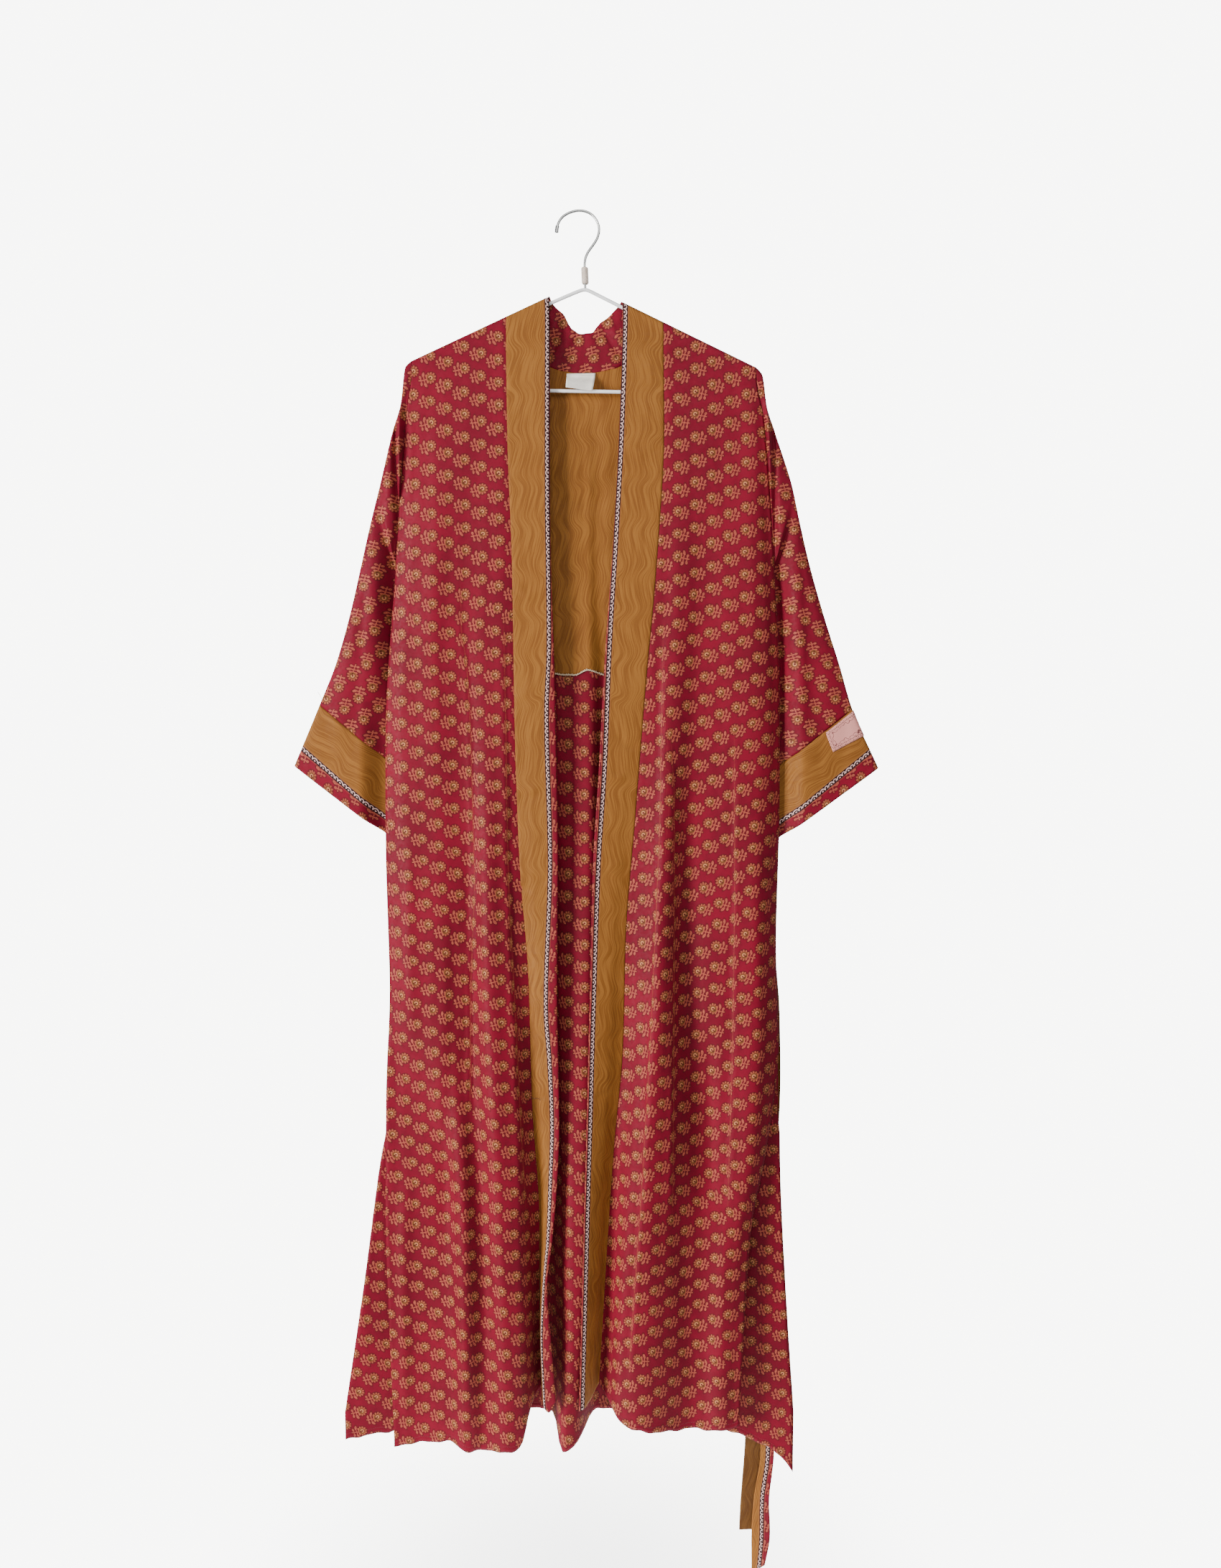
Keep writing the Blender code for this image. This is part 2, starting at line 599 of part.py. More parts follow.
# Front panels
across = FRONT_ACROSS
down = falls(14)
wall("front_right", grid(lambda s, t: front_point(FRONT_RIGHT, HEM_FRONT_RIGHT, s, t), across, down),
     WALL, -1, RED, 0.6, "first last top")
wall("front_left", grid(lambda s, t: front_point(FRONT_LEFT, HEM_FRONT_LEFT, s, t), across, down),
     WALL, 1, RED, 0.6, "first last top")

# Back panel and the yoke inside it
back_grid = grid(back_point, back_across(), falls(14))
wall("back", back_grid, WALL, 1, RED, 0.6, "first last neck")


def yoke_grid():
    """The yoke is made from the back's own points, moved in, down to the yoke's own edge."""
    columns = [k for k, x in enumerate(back_across()) if -107.0 < x < 117.0]
    cut = []
    for k in columns:
        column = back_grid[k]
        foot = YOKE_EDGE + YOKE_PEAK * np.exp(-((column[8, 0] - 9.8) / 10.0) ** 2)
        below = int(np.argmax(column[:, 2] < foot))
        share = (column[below - 1, 2] - foot) / (column[below - 1, 2] - column[below, 2])
        last = mix(column[below - 1], column[below], share)
        kept = column[YOKE_FIRST:below]
        cut.append(list(kept) + [last])
    shortest = min(len(column) for column in cut)
    cut = [column[:shortest - 1] + [column[-1]] for column in cut]
    outer = np.array(cut)
    return outer - normals(outer) * (WALL + YOKE_GAP)


wall("back_yoke", yoke_grid(), YOKE_WALL, 1, OCHRE, 0.65)

# Front bands and the neckband that joins them behind the neck
wall("band_right", grid(lambda s, t: band_point(FRONT_RIGHT, BAND_RIGHT, BAND_HEM_RIGHT, s, t),
                        BAND_ACROSS, down), BAND_WALL, -1, OCHRE, 0.6, "first top")
wall("band_left", grid(lambda s, t: band_point(FRONT_LEFT, BAND_LEFT, BAND_HEM_LEFT, s, t),
                       BAND_ACROSS, down), BAND_WALL, 1, OCHRE, 0.6, "first top")
neck_across = [x for x in back_across() if NECK_ENDS[0] <= x <= NECK_ENDS[1]]
wall("neckband", grid(neckband_point, neck_across, [k / 6.0 for k in range(7)]),
     BAND_WALL, -1, RED, 0.6, "neck ends")

# Sleeves and cuffs
sleeve_down = list(DOWN_SLEEVE[:-1]) + [1.0 - SLEEVE_SEAM]
cuff_down = [1.0 + SLEEVE_SEAM] + list(DOWN_CUFF[1:])
for label, table, panel, sign in (("right", SLEEVE_RIGHT, FRONT_RIGHT, 1),
                                  ("left", SLEEVE_LEFT, FRONT_LEFT, -1)):
    point = (lambda a, t, table=table, panel=panel: sleeve_point(table, panel, a, t))
    wall("sleeve_" + label, grid(point, round_ways(), sleeve_down), WALL, sign, RED, 0.6,
         "first last armhole")
    wall("cuff_" + label, grid(point, round_ways(), cuff_down), BAND_WALL, sign, OCHRE, 0.6,
         "first last")

# Patch over the fold of the left cuff, at its seam
patch_round = [-0.175, -0.13, -0.09, -0.05, -0.02, -0.009, -0.003, 0.0, 0.003, 0.009, 0.02, 0.05]
patch_rows = []
for a in patch_round:
    end = mix(1.062, 1.078, np.clip((a + 0.175) / 0.175, 0.0, 1.0))
    patch_rows.append([sleeve_point(SLEEVE_LEFT, FRONT_LEFT, a, mix(1.004, end, j / 3.0))
                       for j in range(4)])
patch = np.array(patch_rows)
patch = patch - normals(patch) * (SEAM_GAP + PATCH_WALL)
wall("cuff_patch", patch, PATCH_WALL, -1, PINK, 0.8)

# Neck label: sewn to the neckband's lower edge, it hangs in front of the hanger's bar
LABEL = Table("down left right y z_left z_right", (
    (0, -15.6, 18.0, 6.9, -180.2, -179.8),
    (5, -15.8, 17.6, 5.9, -184.4, -184.2),
    (14, -16.2, 16.3, -1.0, -191.6, -193.4),
    (24, -16.5, 14.6, -5.4, -198.6, -202.7),
))


def label_point(s, down):
    x = mix(LABEL.at("left", down), LABEL.at("right", down), s)
    return x, LABEL.at("y", down), mix(LABEL.at("z_left", down), LABEL.at("z_right", down), s)


wall("neck_label", grid(label_point, [0, 0.25, 0.5, 0.75, 1], [0, 5, 9.5, 14, 19, 24]),
     LABEL_WALL, 1, WHITE, 0.7)

# Belt, hung by its middle on a carrier at the left side seam
belt_steps = [0, 30, 60, 85, 110, 145, 180, 250, 320, 400, 480, 560, 640, 700, 760, 830, 872, 874,
              876, 877.5, 879, 880.5, 882, 884, 886, 928, 990, 1058, 1140, 1220, 1300, 1358, 1430,
              1500, 1558, 1620, 1686]


def belt_point(s, along):
    slant = -10.0 * s * max(0.0, 1.0 - along / 60.0)
    x = BELT.at("x", along) + (s - 0.5) * BELT.at("width", along)
    return x, BELT.at("y", along), BELT.at("z", along) - slant


wall("belt", grid(belt_point, [0, 0.33, 0.67, 1], belt_steps), BELT_WALL, -1, OCHRE, 0.6)

CARRIER_Z = -825.5
seat_outer = back_depth(235.4, CARRIER_Z) + SEAM_GAP
seat_inner = back_depth(210.0, CARRIER_Z) + SEAM_GAP
carrier_path = [(236.6, seat_outer), (237.4, 9.0), (236.4, 14.2), (234.5, 15.0), (224.0, 15.0),
                (213.5, 15.0), (211.5, 14.2), (210.4, seat_inner)]
carrier_grid = np.array([[(x, y, CARRIER_Z + 1.2 * j) for j in (-1, 1)] for x, y in carrier_path])
wall("belt_loop", carrier_grid, 1.0, 1, RED, 0.7)

# Hanger: a closed rod frame, a wire hook, and a collar at the hook's foot
frame_points = [APEX, (-2.0, -88.6), (-90, -125.8), (-182, -166.4), (-192.5, -173.0),
                (-194.5, -184.0), (-185.0, -196.0), (-168, -199.8), (-90, -200.6), (0, -201.8),
                (90, -203.4), (172, -204.8), (191.0, -201.0), (200.5, -191.0), (198.5, -179.8),
                (188.0, -172.8), (95, -129.2), (15.0, -90.2)]
frame_path = smooth_path(frame_points, [1, 2, 3, 2, 2, 2, 1, 2, 2, 2, 2, 1, 2, 2, 2, 3, 2, 1], True)
tube("hanger_frame", frame_path, [ARM_RADIUS] * len(frame_path), 8, True, WHITE, 0.45)

hook_points = [(-26.4, -20.5), (-22.8, -8.6), (-13.0, -1.2), (0.0, 1.5), (12.0, -1.4),
               (20.0, -9.4), (22.6, -20.0), (19.6, -31.0), (13.2, -40.0), (7.8, -48.0),
               (5.6, -57.0), (5.8, -68.0), (6.4, -82.9)]
hook_path = smooth_path(hook_points, [3, 3, 3, 3, 3, 3, 3, 3, 2, 2, 2, 2], False)
hook_radii = [TIP_RADIUS, TIP_RADIUS] + [WIRE_RADIUS] * (len(hook_path) - 2)
tube("hanger_hook", hook_path, hook_radii, 8, False, STEEL, 0.3, 1.0)


def collar():
    """A short sleeve round the foot of the hook, with a bore for the wire."""
    sides = 14
    heights = (-62.0, -63.0, -79.6, -80.6)
    reach = (COLLAR_RADIUS - 0.8, COLLAR_RADIUS, COLLAR_RADIUS, COLLAR_RADIUS - 0.8)
    rings = [(reach[k], heights[k]) for k in range(4)]
    rings += [(COLLAR_BORE, heights[3]), (COLLAR_BORE, heights[0])]
    points = []
    for radius, z in rings:
        middle = mix(5.65, 6.4, (-62.0 - z) / 19.5)
        for j in range(sides):
            angle = 2.0 * np.pi * j / sides
            points.append((middle + radius * np.cos(angle), radius * np.sin(angle), z))
    faces = []
    for k in range(6):
        for j in range(sides):
            a = k * sides + j
            b = k * sides + (j + 1) % sides
            c = ((k + 1) % 6) * sides + (j + 1) % sides
            d = ((k + 1) % 6) * sides + j
            faces.append((d, c, b, a))
    make("hanger_collar", points, faces, BEIGE, 0.6)


collar()
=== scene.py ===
"""Looks of a kimono hung open on a rod hanger.

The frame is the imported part: metres, the origin at the inner top of the hanger's hook, Z up, X to
the viewer's right, and the front of the garment faces -Y. Sides are named by the wearer: the
wearer's right is at -X. The cloth is built like the solids, from lines that run down each panel,
with finer folds, seams and hems. Tables, distances and shape functions are in millimetres.
"""
import math

import bmesh
import bpy
import numpy as np
from bpy.props import FloatProperty, FloatVectorProperty, PointerProperty
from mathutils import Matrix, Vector


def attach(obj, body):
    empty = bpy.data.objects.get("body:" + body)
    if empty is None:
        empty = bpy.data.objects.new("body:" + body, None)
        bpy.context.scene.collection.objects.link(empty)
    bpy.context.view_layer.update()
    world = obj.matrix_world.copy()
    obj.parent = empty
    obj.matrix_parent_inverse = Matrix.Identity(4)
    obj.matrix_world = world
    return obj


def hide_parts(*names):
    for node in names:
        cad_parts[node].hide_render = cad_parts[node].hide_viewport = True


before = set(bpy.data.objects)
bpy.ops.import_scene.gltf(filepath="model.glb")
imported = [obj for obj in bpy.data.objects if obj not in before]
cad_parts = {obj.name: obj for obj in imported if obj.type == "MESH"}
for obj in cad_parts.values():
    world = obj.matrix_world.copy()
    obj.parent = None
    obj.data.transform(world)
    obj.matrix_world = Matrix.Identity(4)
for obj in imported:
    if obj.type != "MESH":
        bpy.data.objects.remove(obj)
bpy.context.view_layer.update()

bl_info = {
    "name": "Kimono on a hanger",
    "version": (1, 0, 0),
    "blender": (4, 5, 0),
    "location": "3D View > Sidebar > Kimono",
    "description": "Cloth, seams, prints and hanger of a long open kimono",
    "category": "Object",
}

MM = 0.001

# Cloth over the hanger's arms: each crest has its height at x = 0 and its slope
APEX = (6.5, -86.0)
CREST_RIGHT = (-78.5, 0.455)
CREST_LEFT = (-77.5, -0.475)
ARM_REACH = 4.8
ARM_FALL = 5.2
EASE_FALL = 60.0
FREE_DEPTH = -3.0

# Seams and folds
SEAM_GAP = 0.3
SHUT_REACH = 3.0
FOLD_RADIUS = 3.6
BEHIND_GAP = 5.0
SIDE_SEAM_END = -1000.0
UNDERARM_Z = -385.0
ARMHOLE_END = 0.37
SEAM_SHARE = 0.0001

# Heights of the panels' first and last sections, and lengths down the cloth
TOP, FOOT, BACK_FOOT, TOP_OF_BANDS = -160.0, -1480.0, -1460.0, -95.0
FRONT_RUN, BACK_RUN, BAND_RUN = 1370.0, 1390.0, 1330.0
FALLS = (0.0, 0.25, 0.6, 1.1, 1.7, 2.5, 3.5, 4.6, 5.8, 7.2, 9.0, 11.5, 14.5)

# Neck and yoke
NECK_ENDS = (-85.5, 97.0)
NECK_GAP = 0.4
BACK_TOP = (-195.0, 204.5)
YOKE_SIDES = (-106.0, 116.0)
YOKE_EDGE = -531.0
YOKE_PEAK = 5.0

# Sleeves: turn of the print in degrees, length down to the cuff, share down at the open end, and
# the cuff's depth for one share. The patch's ends and the cuff's scroll are given in shares too.
SLEEVE_PRINT = -60.7
SLEEVE_RUN = 441.0
OPEN_END = 1.17
CUFF_SCALE = 75.0 / 0.17
CUFF_SCROLL = (1.121, 0.026)
PATCH_ENDS = (-0.175, 0.05)
PATCH_ROWS = (1.004, 1.062, 1.078)

# Places on the border print that lie away from its scroll line
WAVES_ONLY = -400.0
REVERSE_WAVES = -60.0

# Distance to an edge where a piece has none that shows
FAR = 50.0


def ease(v):
    """Smooth step from 0 to 1."""
    v = np.clip(v, 0.0, 1.0)
    return v * v * (3.0 - 2.0 * v)


def mix(a, b, v):
    return a + (b - a) * v


def curve(x, y, value, level_ends=False):
    """A smooth curve through points that never swings past them, read at an array of values.

    The last axis of x and y runs along the points; they may have a row for every value.
    """
    x, y = np.asarray(x, float), np.asarray(y, float)
    h = np.diff(x)
    d = np.diff(y) / h
    m = np.zeros(y.shape)
    if not level_ends:
        m[..., 0], m[..., -1] = d[..., 0], d[..., -1]
    before, after = d[..., :-1], d[..., 1:]
    a = 2.0 * h[..., 1:] + h[..., :-1]
    b = h[..., 1:] + 2.0 * h[..., :-1]
    same = before * after > 0.0
    share = a / np.where(same, before, 1.0) + b / np.where(same, after, 1.0)
    m[..., 1:-1] = np.where(same, (a + b) / share, 0.0)
    value = np.clip(value, x[..., 0], x[..., -1])
    k = (x[..., 1:-1] <= value[..., None]).sum(axis=-1)

    def at(rows, j):
        return rows[j] if x.ndim == 1 else np.take_along_axis(rows, j[..., None], axis=-1)[..., 0]

    width = at(h, k)
    u = (value - at(x, k)) / width
    first = (1.0 + 2.0 * u) * (1.0 - u) ** 2 * at(y, k) + u * u * (3.0 - 2.0 * u) * at(y, k + 1)
    return first + width * u * (1.0 - u) * ((1.0 - u) * at(m, k) - u * at(m, k + 1))


class Table:
    """Rows of named columns, read along a smooth curve through the first column."""

    def __init__(self, names, rows):
        self.names = names.split()
        self.rows = np.array(sorted(rows), float)

    def at(self, name, value):
        value = np.asarray(value, float)
        return curve(self.rows[:, 0], self.rows[:, self.names.index(name)], value)


class Panel:
    """Lines down a piece of cloth: each has a place across and a depth at every height."""

    def __init__(self, lines, rows):
        self.lines = lines.split()
        self.table = Table("z " + " ".join("%s_x %s_y" % (name, name) for name in self.lines), rows)

    def x(self, line, z):
        return self.table.at(line + "_x", z)

    def y(self, line, z):
        return self.table.at(line + "_y", z)

    def depth(self, x, z):
        x, z = np.broadcast_arrays(np.asarray(x, float), np.asarray(z, float))
        xs = np.stack([self.x(name, z) for name in self.lines], axis=-1)
        ys = np.stack([self.y(name, z) for name in self.lines], axis=-1)
        order = np.argsort(xs, axis=-1)
        xs, ys = (np.take_along_axis(rows, order, axis=-1) for rows in (xs, ys))
        return curve(xs, ys, x, level_ends=True)


# Panels: a row per section across the cloth, the lines in order from the side to the band
FRONT_LINES = "side groove belly crease ridge edge seam"

FRONT_RIGHT = Panel(FRONT_LINES, (
    (-160, -195, -4.5, -178, -6, -160, -6.5, -140, -6.5, -115, -7, -100, -7, -85.5, -8),
    (-250, -204.1, -5, -186, -8, -165, -9, -142, -9, -116, -9.5, -100, -9.5, -84.7, -10),
    (-400, -217.5, -2.6, -198, -9.5, -170, -12, -141, -10.5, -113, -12, -97, -12, -80.2, -11),
    (-600, -233, -1.6, -212, -10, -175, -14, -138, -10.5, -110, -15, -95, -14, -78, -12),
    (-750, -235, -1.6, -214, -10, -172, -15, -135, -11, -110, -20, -94, -17, -73.6, -12),
    (-900, -233, -1.6, -212, -9, -165, -16, -134, -11, -110, -23, -88, -20, -63.5, -11),
    (-1050, -239, -3, -190, -9.5, -155, -20, -132, -13, -104, -28, -80, -24, -60.5, -7),
    (-1200, -241, -7, -163, -15, -143, -25, -124, -18, -98, -33, -76, -29, -52.5, -2),
    (-1330, -238.5, -9, -163, -17, -141, -30, -120, -23, -93, -38, -71.5, -32, -53.5, 3),
    (-1480, -234, -12, -164, -20, -140, -35, -121, -29, -92, -43, -66.5, -34, -50, 4),
))

FRONT_LEFT = Panel(FRONT_LINES, (
    (-160, 204.5, -4.5, 192, -6, 182, -6.5, 160, -6.5, 120, -7, 108, -7.5, 97, -8),
    (-250, 215.7, -5, 203, -8, 190, -9, 158, -9, 118, -10, 107, -10, 98, -10),
    (-400, 228.2, -2.6, 212, -9.5, 198, -12, 150, -9.5, 114, -13, 101, -12, 90, -12),
    (-550, 237, -1.6, 222, -10, 208, -13, 140, -9.5, 107, -16, 92, -13, 77, -12),
    (-700, 238.5, -1.6, 224, -11, 210, -15, 132, -9, 102, -20, 83, -15, 65.3, -12),
    (-850, 236.3, -1.6, 223, -12, 211, -17, 128, -8.5, 98, -24, 78, -18, 54, -10),
    (-980, 241, -2, 226, -12, 212, -18, 137, -8, 95, -27, 74.5, -20, 51, -7),
    (-1110, 226.5, -6, 218, -12, 206, -17, 150, -8.5, 91.5, -30, 66, -24, 40, -3),
    (-1210, 208.6, -10, 202, -13, 192, -17, 149, -9.5, 84, -32, 58.5, -26, 33.5, 1),
    (-1330, 201, -12, 195, -14, 184, -17, 146, -10, 76, -34, 50, -27, 26.5, 5),
    (-1480, 195, -14, 188, -15, 176, -18, 142, -12, 71, -36, 43, -28, 18, 8),
))

BACK = Panel("right outer foot crest edge hollow inner left", (
    (-190, -195.5, 4.5, -150, 7, -60, 8.5, -15, 9, 5, 9, 22, 9.5, 140, 7, 206.5, 4.5),
    (-250, -204.1, 5, -150, 9, -60, 10, -15, 10, 5, 10, 25, 11, 145, 9, 215.7, 5),
    (-400, -217.5, 2.6, -155, 10, -58, 12, -15, 10, 6, 10, 28, 13, 150, 10, 228.2, 2.6),
    (-550, -230.5, 1.6, -160, 11, -55, 13, -15, 8, 8, 6, 30, 15, 150, 11, 237, 1.6),
    (-700, -235, 1.6, -160, 12, -55, 14, -14, 4, 10, 1, 32, 16, 150, 12, 238.5, 1.6),
    (-850, -234, 1.6, -160, 12, -54, 15, -14, -1, 9.5, -4, 32, 18, 150, 13, 236.3, 1.6),
    (-1010, -230, 1.6, -165, 13, -51, 17, -14, -7, 7.5, -9, 30, 20, 150, 14, 242, 2),
    (-1150, -252, 6, -170, 15, -45, 20, -11, -13, 4, -14, 27, 22, 155, 15, 246, 6),
    (-1300, -274, 9, -175, 17, -43, 22, -11, -18, 1.5, -17, 23, 25, 160, 16, 255, 10),
    (-1460, -300, 12, -180, 18, -43, 23, -21, -26, -8, -23, 21, 26, 165, 16, 267, 12),
))

# Hems: place across and height
HEM_FRONT_RIGHT = Table("x z", (
    (-234, -1491), (-163, -1479), (-133, -1483), (-106, -1482),
    (-83, -1477), (-73, -1471), (-68, -1456), (-62, -1434), (-50, -1422),
))
HEM_FRONT_LEFT = Table("x z", (
    (18, -1420), (43, -1444), (58, -1453), (73, -1457),
    (93, -1460), (133, -1467), (181, -1466), (196, -1462),
))
HEM_BACK = Table("x z", (
    (-300, -1496), (-245, -1487), (-160, -1472), (-72, -1461),
    (-36, -1463), (-30, -1468), (-27, -1486), (-23, -1489), (-12, -1482), (0, -1474),
    (12, -1463), (100, -1472), (205, -1493), (240, -1511), (258, -1526), (267, -1540),
))

# Bands: place across and depth of the scroll line, and the same of the free edge
BAND_RIGHT = Table("z scroll_x scroll_y free_x free_y", (
    (-95, -38.5, -7, -35.2, -7),
    (-127, -37.4, -8, -34.2, -8),
    (-250, -38, -11, -34.7, -11),
    (-331, -38.2, -12, -34.8, -12),
    (-400, -37.6, -12, -34, -12),
    (-500, -36.8, -13, -31, -13),
    (-582, -40.1, -14, -29, -14),
    (-754, -36.5, -16, -26.9, -17),
    (-928, -42.3, -18, -28.4, -20),
    (-1000, -38, -18, -27, -20),
    (-1080, -35.5, -16, -26.4, -19),
    (-1150, -38, -17, -29.5, -20),
    (-1215, -41, -20, -35, -23),
    (-1280, -47, -24, -42, -27),
    (-1340, -49.5, -26, -37.5, -30),
    (-1430, -46, -29, -30.5, -33),
))
BAND_LEFT = Table("z scroll_x scroll_y free_x free_y", (
    (-99, 53, -7, 49.6, -7),
    (-127, 52.8, -8, 49.5, -8),
    (-249, 49, -11, 45.6, -11),
    (-380, 42, -12, 38.4, -12),
    (-502, 34.5, -13, 29.5, -13.5),
    (-640, 28.8, -15, 21.8, -16),
    (-762, 21, -17, 14.5, -18),
    (-928, 15.3, -19, 10.3, -20),
    (-1070, 11.2, -21, 6.7, -22),
    (-1196, 7.5, -23, 3, -24),
    (-1440, 1, -26, -3.5, -27),
))
BAND_HEM_RIGHT = Table("s z", ((0, -1422), (0.5, -1434), (1, -1420)))
BAND_HEM_LEFT = Table("s z", ((0, -1420), (0.6, -1432), (1, -1436)))

# Back neckband: a place on the neck seam, its height, and the place of the free top edge above
NECKBAND = Table("x z top_x top_z", (
    (-85.5, -117.4, -35.2, -94.5),
    (-80, -123.2, -31.8, -101),
    (-72, -136, -25.4, -108.1),
    (-62, -151, -18.7, -113.8),
    (-50, -164, -12.6, -124.4),
    (-36, -173.5, -8.2, -130.2),
    (-18, -179, -2.6, -133.4),
    (5, -181, 5.5, -134.6),
    (26, -178.5, 13.5, -133),
    (44, -173, 19, -128),
    (58, -165.5, 24.6, -121.6),
    (72, -154, 33, -116.4),
    (84, -140, 41, -108.9),
    (91, -129.5, 45, -104.2),
    (97, -123.6, 48.1, -100.4),
))

# Sleeves: t runs from the shoulder's end (0) down past the armhole's end to the cuff's seam (1)
# and on to the open end. The top line is the fold, the under line is the armhole, then the seam.
SLEEVE_NAMES = "t top_x top_z under_x under_z belly"
SLEEVE_RIGHT = Table(SLEEVE_NAMES, (
    (0, -195.3, -167.4, -195.5, -173, 4.8),
    (0.02, -200, -170.8, -196.3, -184, 4.9),
    (0.05, -203.5, -175.5, -198.6, -205, 5.2),
    (0.09, -205.4, -187, -201.2, -226, 5.5),
    (0.15, -208.5, -213, -206.5, -264, 6),
    (0.25, -219.4, -249, -212.2, -322, 6.5),
    (0.37, -235.8, -313, -217.8, -400, 7),
    (0.42, -242.3, -337, -213, -425, 7.3),
    (0.47, -248.8, -362, -209, -447, 7.5),
    (0.55, -257.5, -398, -203, -488, 8),
    (0.70, -273.5, -462, -173, -580, 8.5),
    (0.85, -291, -519, -146, -664, 9),
    (1, -311, -567, -128, -722, 9),
    (1.17, -342.7, -639.8, -152, -786.5, 9.5),
))
SLEEVE_LEFT = Table(SLEEVE_NAMES, (
    (0, 204.8, -174.8, 205, -180.4, 4.8),
    (0.02, 209.2, -178.8, 206.3, -192, 4.9),
    (0.05, 212.8, -184.5, 209, -212, 5.2),
    (0.09, 214.7, -196, 211.7, -232, 5.5),
    (0.15, 217.6, -217, 217, -268, 6),
    (0.25, 228, -249, 222.5, -324, 6.5),
    (0.37, 249.4, -313, 228.5, -400, 7),
    (0.42, 254.8, -337, 223.5, -425, 7.3),
    (0.47, 260.6, -362, 219.5, -447, 7.5),
    (0.55, 269.5, -398, 214, -488, 8),
    (0.70, 288.5, -462, 184, -580, 8.5),
    (0.85, 307.5, -519, 156, -664, 9),
    (1, 324, -572.5, 136, -722, 9),
    (1.17, 356.2, -642.3, 158, -786.5, 9.5),
))

# Belt: from the end of the longer strand up over its carrier and down to the other end
BELT = Table("along x y z width", (
    (0, 225.5, 20, -1682, 17),
    (60, 228, 20, -1630, 24),
    (110, 229, 20, -1585, 20),
    (180, 235, 20, -1520, 17),
    (400, 233.5, 18.5, -1300, 24),
    (700, 229.5, 15, -1000, 25),
    (830, 225, 12.6, -870, 21),
    (872, 224, 12.5, -828, 20),
    (876, 224, 13.2, -824.4, 20),
    (879, 224, 15, -822.6, 20),
    (882, 224, 16.8, -824.4, 20),
    (886, 224, 17.5, -828, 20),
    (928, 227.5, 18.2, -870, 21),
    (1058, 234.5, 20.5, -1000, 24),
    (1358, 226, 24, -1300, 25),
    (1558, 220, 25, -1500, 25),
    (1686, 213.5, 25, -1628, 25),
))

# Neck label: sewn to the neckband's lower edge, it hangs in front of the hanger's bar
LABEL = Table("down left right y z_left z_right", (
    (0, -15.6, 18, 6.9, -180.2, -179.8),
    (5, -15.8, 17.6, 5.9, -184.4, -184.2),
    (14, -16.2, 16.3, -1, -191.6, -193.4),
    (24, -16.5, 14.6, -5.4, -198.6, -202.7),
))

# Belt: its whole length, the place where it turns over the carrier, the carrier's height, and
# the depth between its two strands by height
BELT_END, BELT_MIDDLE = 1686.0, 879.0
CARRIER_Z = -825.5
BELT_BETWEEN = ((-1500.0, -1300.0, -1000.0, -870.0), (22.5, 21.2, 17.7, 15.4))

# Shares of a sleeve's half round its fold, where the cloth bends most
NEAR_FOLD = (0.003, 0.007, 0.012, 0.018, 0.026, 0.036, 0.05, 0.07)

LOOSE_THREADS = (
    ((-61, -9.5, -1044), (-57, -12, -1047), (-53, -14, -1042), (-49, -15.5, -1046)),
    ((-306, 0.5, -566), (-308.5, -0.5, -561), (-309.5, -1, -556), (-313, -0.5, -552)),
    ((-243, -6, -1110), (-246, -7, -1114), (-244, -7, -1121)),
)

# Hanger: piece, slot, node, radius, whether it is a ring, and its points (x, z)
HANGER = (
    ("hanger_rod", "white_rod", "hanger_frame", 2.05, True, (
        APEX, (-2, -88.6), (-45, -107), (-90, -125.8), (-136, -145.6), (-174, -162.6),
        (-187, -169.2), (-193.4, -175.8), (-194.4, -184.6), (-189.4, -193.2), (-178, -198.6),
        (-150, -200.2), (-90, -200.6), (0, -201.8), (90, -203.4), (160, -204.6),
        (182, -203.6), (194.6, -198.2), (200.2, -189.6), (198.6, -180.2), (190.6, -173.8),
        (176, -166.6), (140, -149.8), (95, -129.2), (50, -107.4), (15, -90.2))),
    ("hook_wire_rod", "hook_wire", "hanger_hook", 1.5, False, (
        (-26.4, -20.5), (-25.6, -14), (-22.6, -8.4), (-18.4, -4.2), (-13, -1.2), (-6.6, 1),
        (0, 1.7), (6.4, 1), (12.2, -1.4), (16.8, -5.2), (20.2, -10.2), (22.2, -15.4),
        (22.6, -20.4), (21.8, -25.8), (19.6, -31), (16.4, -35.8), (13, -40.2), (9.8, -44.4),
        (7.4, -49), (6, -54), (5.6, -60), (5.8, -68), (6.4, -88))),
    ("hook_tip", "hook_wire", None, 2.2, False, (
        (-26.5, -22.6), (-26.4, -20), (-26.2, -18), (-25.6, -15.6))),
)

# Stage, in metres: the floor's height, and the lamps' places, targets, sizes and watts
FLOOR = -1.72
FLOOR_FADE = (30.0, 560.0)
LAMPS = (
    ("key_light", (-2.75, -1.95, -0.6), (0.1, 0.0, -1.1), (1.1, 2.2), 222.0),
    ("top_light", (0.5, -2.5, 0.9), (0.1, 0.0, -0.8), (2.2, 1.8), 42.0),
    ("back_light", (0.8, 2.8, 1.6), (0.0, 0.0, -0.8), (2.4, 2.0), 110.0),
)


def crest(x):
    """Height of the cloth where it lies over the hanger's arms."""
    x = np.asarray(x, float)
    right, left = (start + slope * x for start, slope in (CREST_RIGHT, CREST_LEFT))
    return np.where(x < APEX[0], right, left)


def over_arm(x, z, depth):
    """Depth of the cloth: round over the arm, then easing to the panel's own depth."""
    fall = crest(x) - z
    rise = np.clip(1.0 - np.maximum(0.0, fall) / ARM_FALL, 0.0, 1.0)
    bend = np.maximum(SEAM_GAP / 2.0, ARM_REACH * np.sqrt(1.0 - rise * rise))
    return mix(bend, np.abs(depth), ease(fall / EASE_FALL))


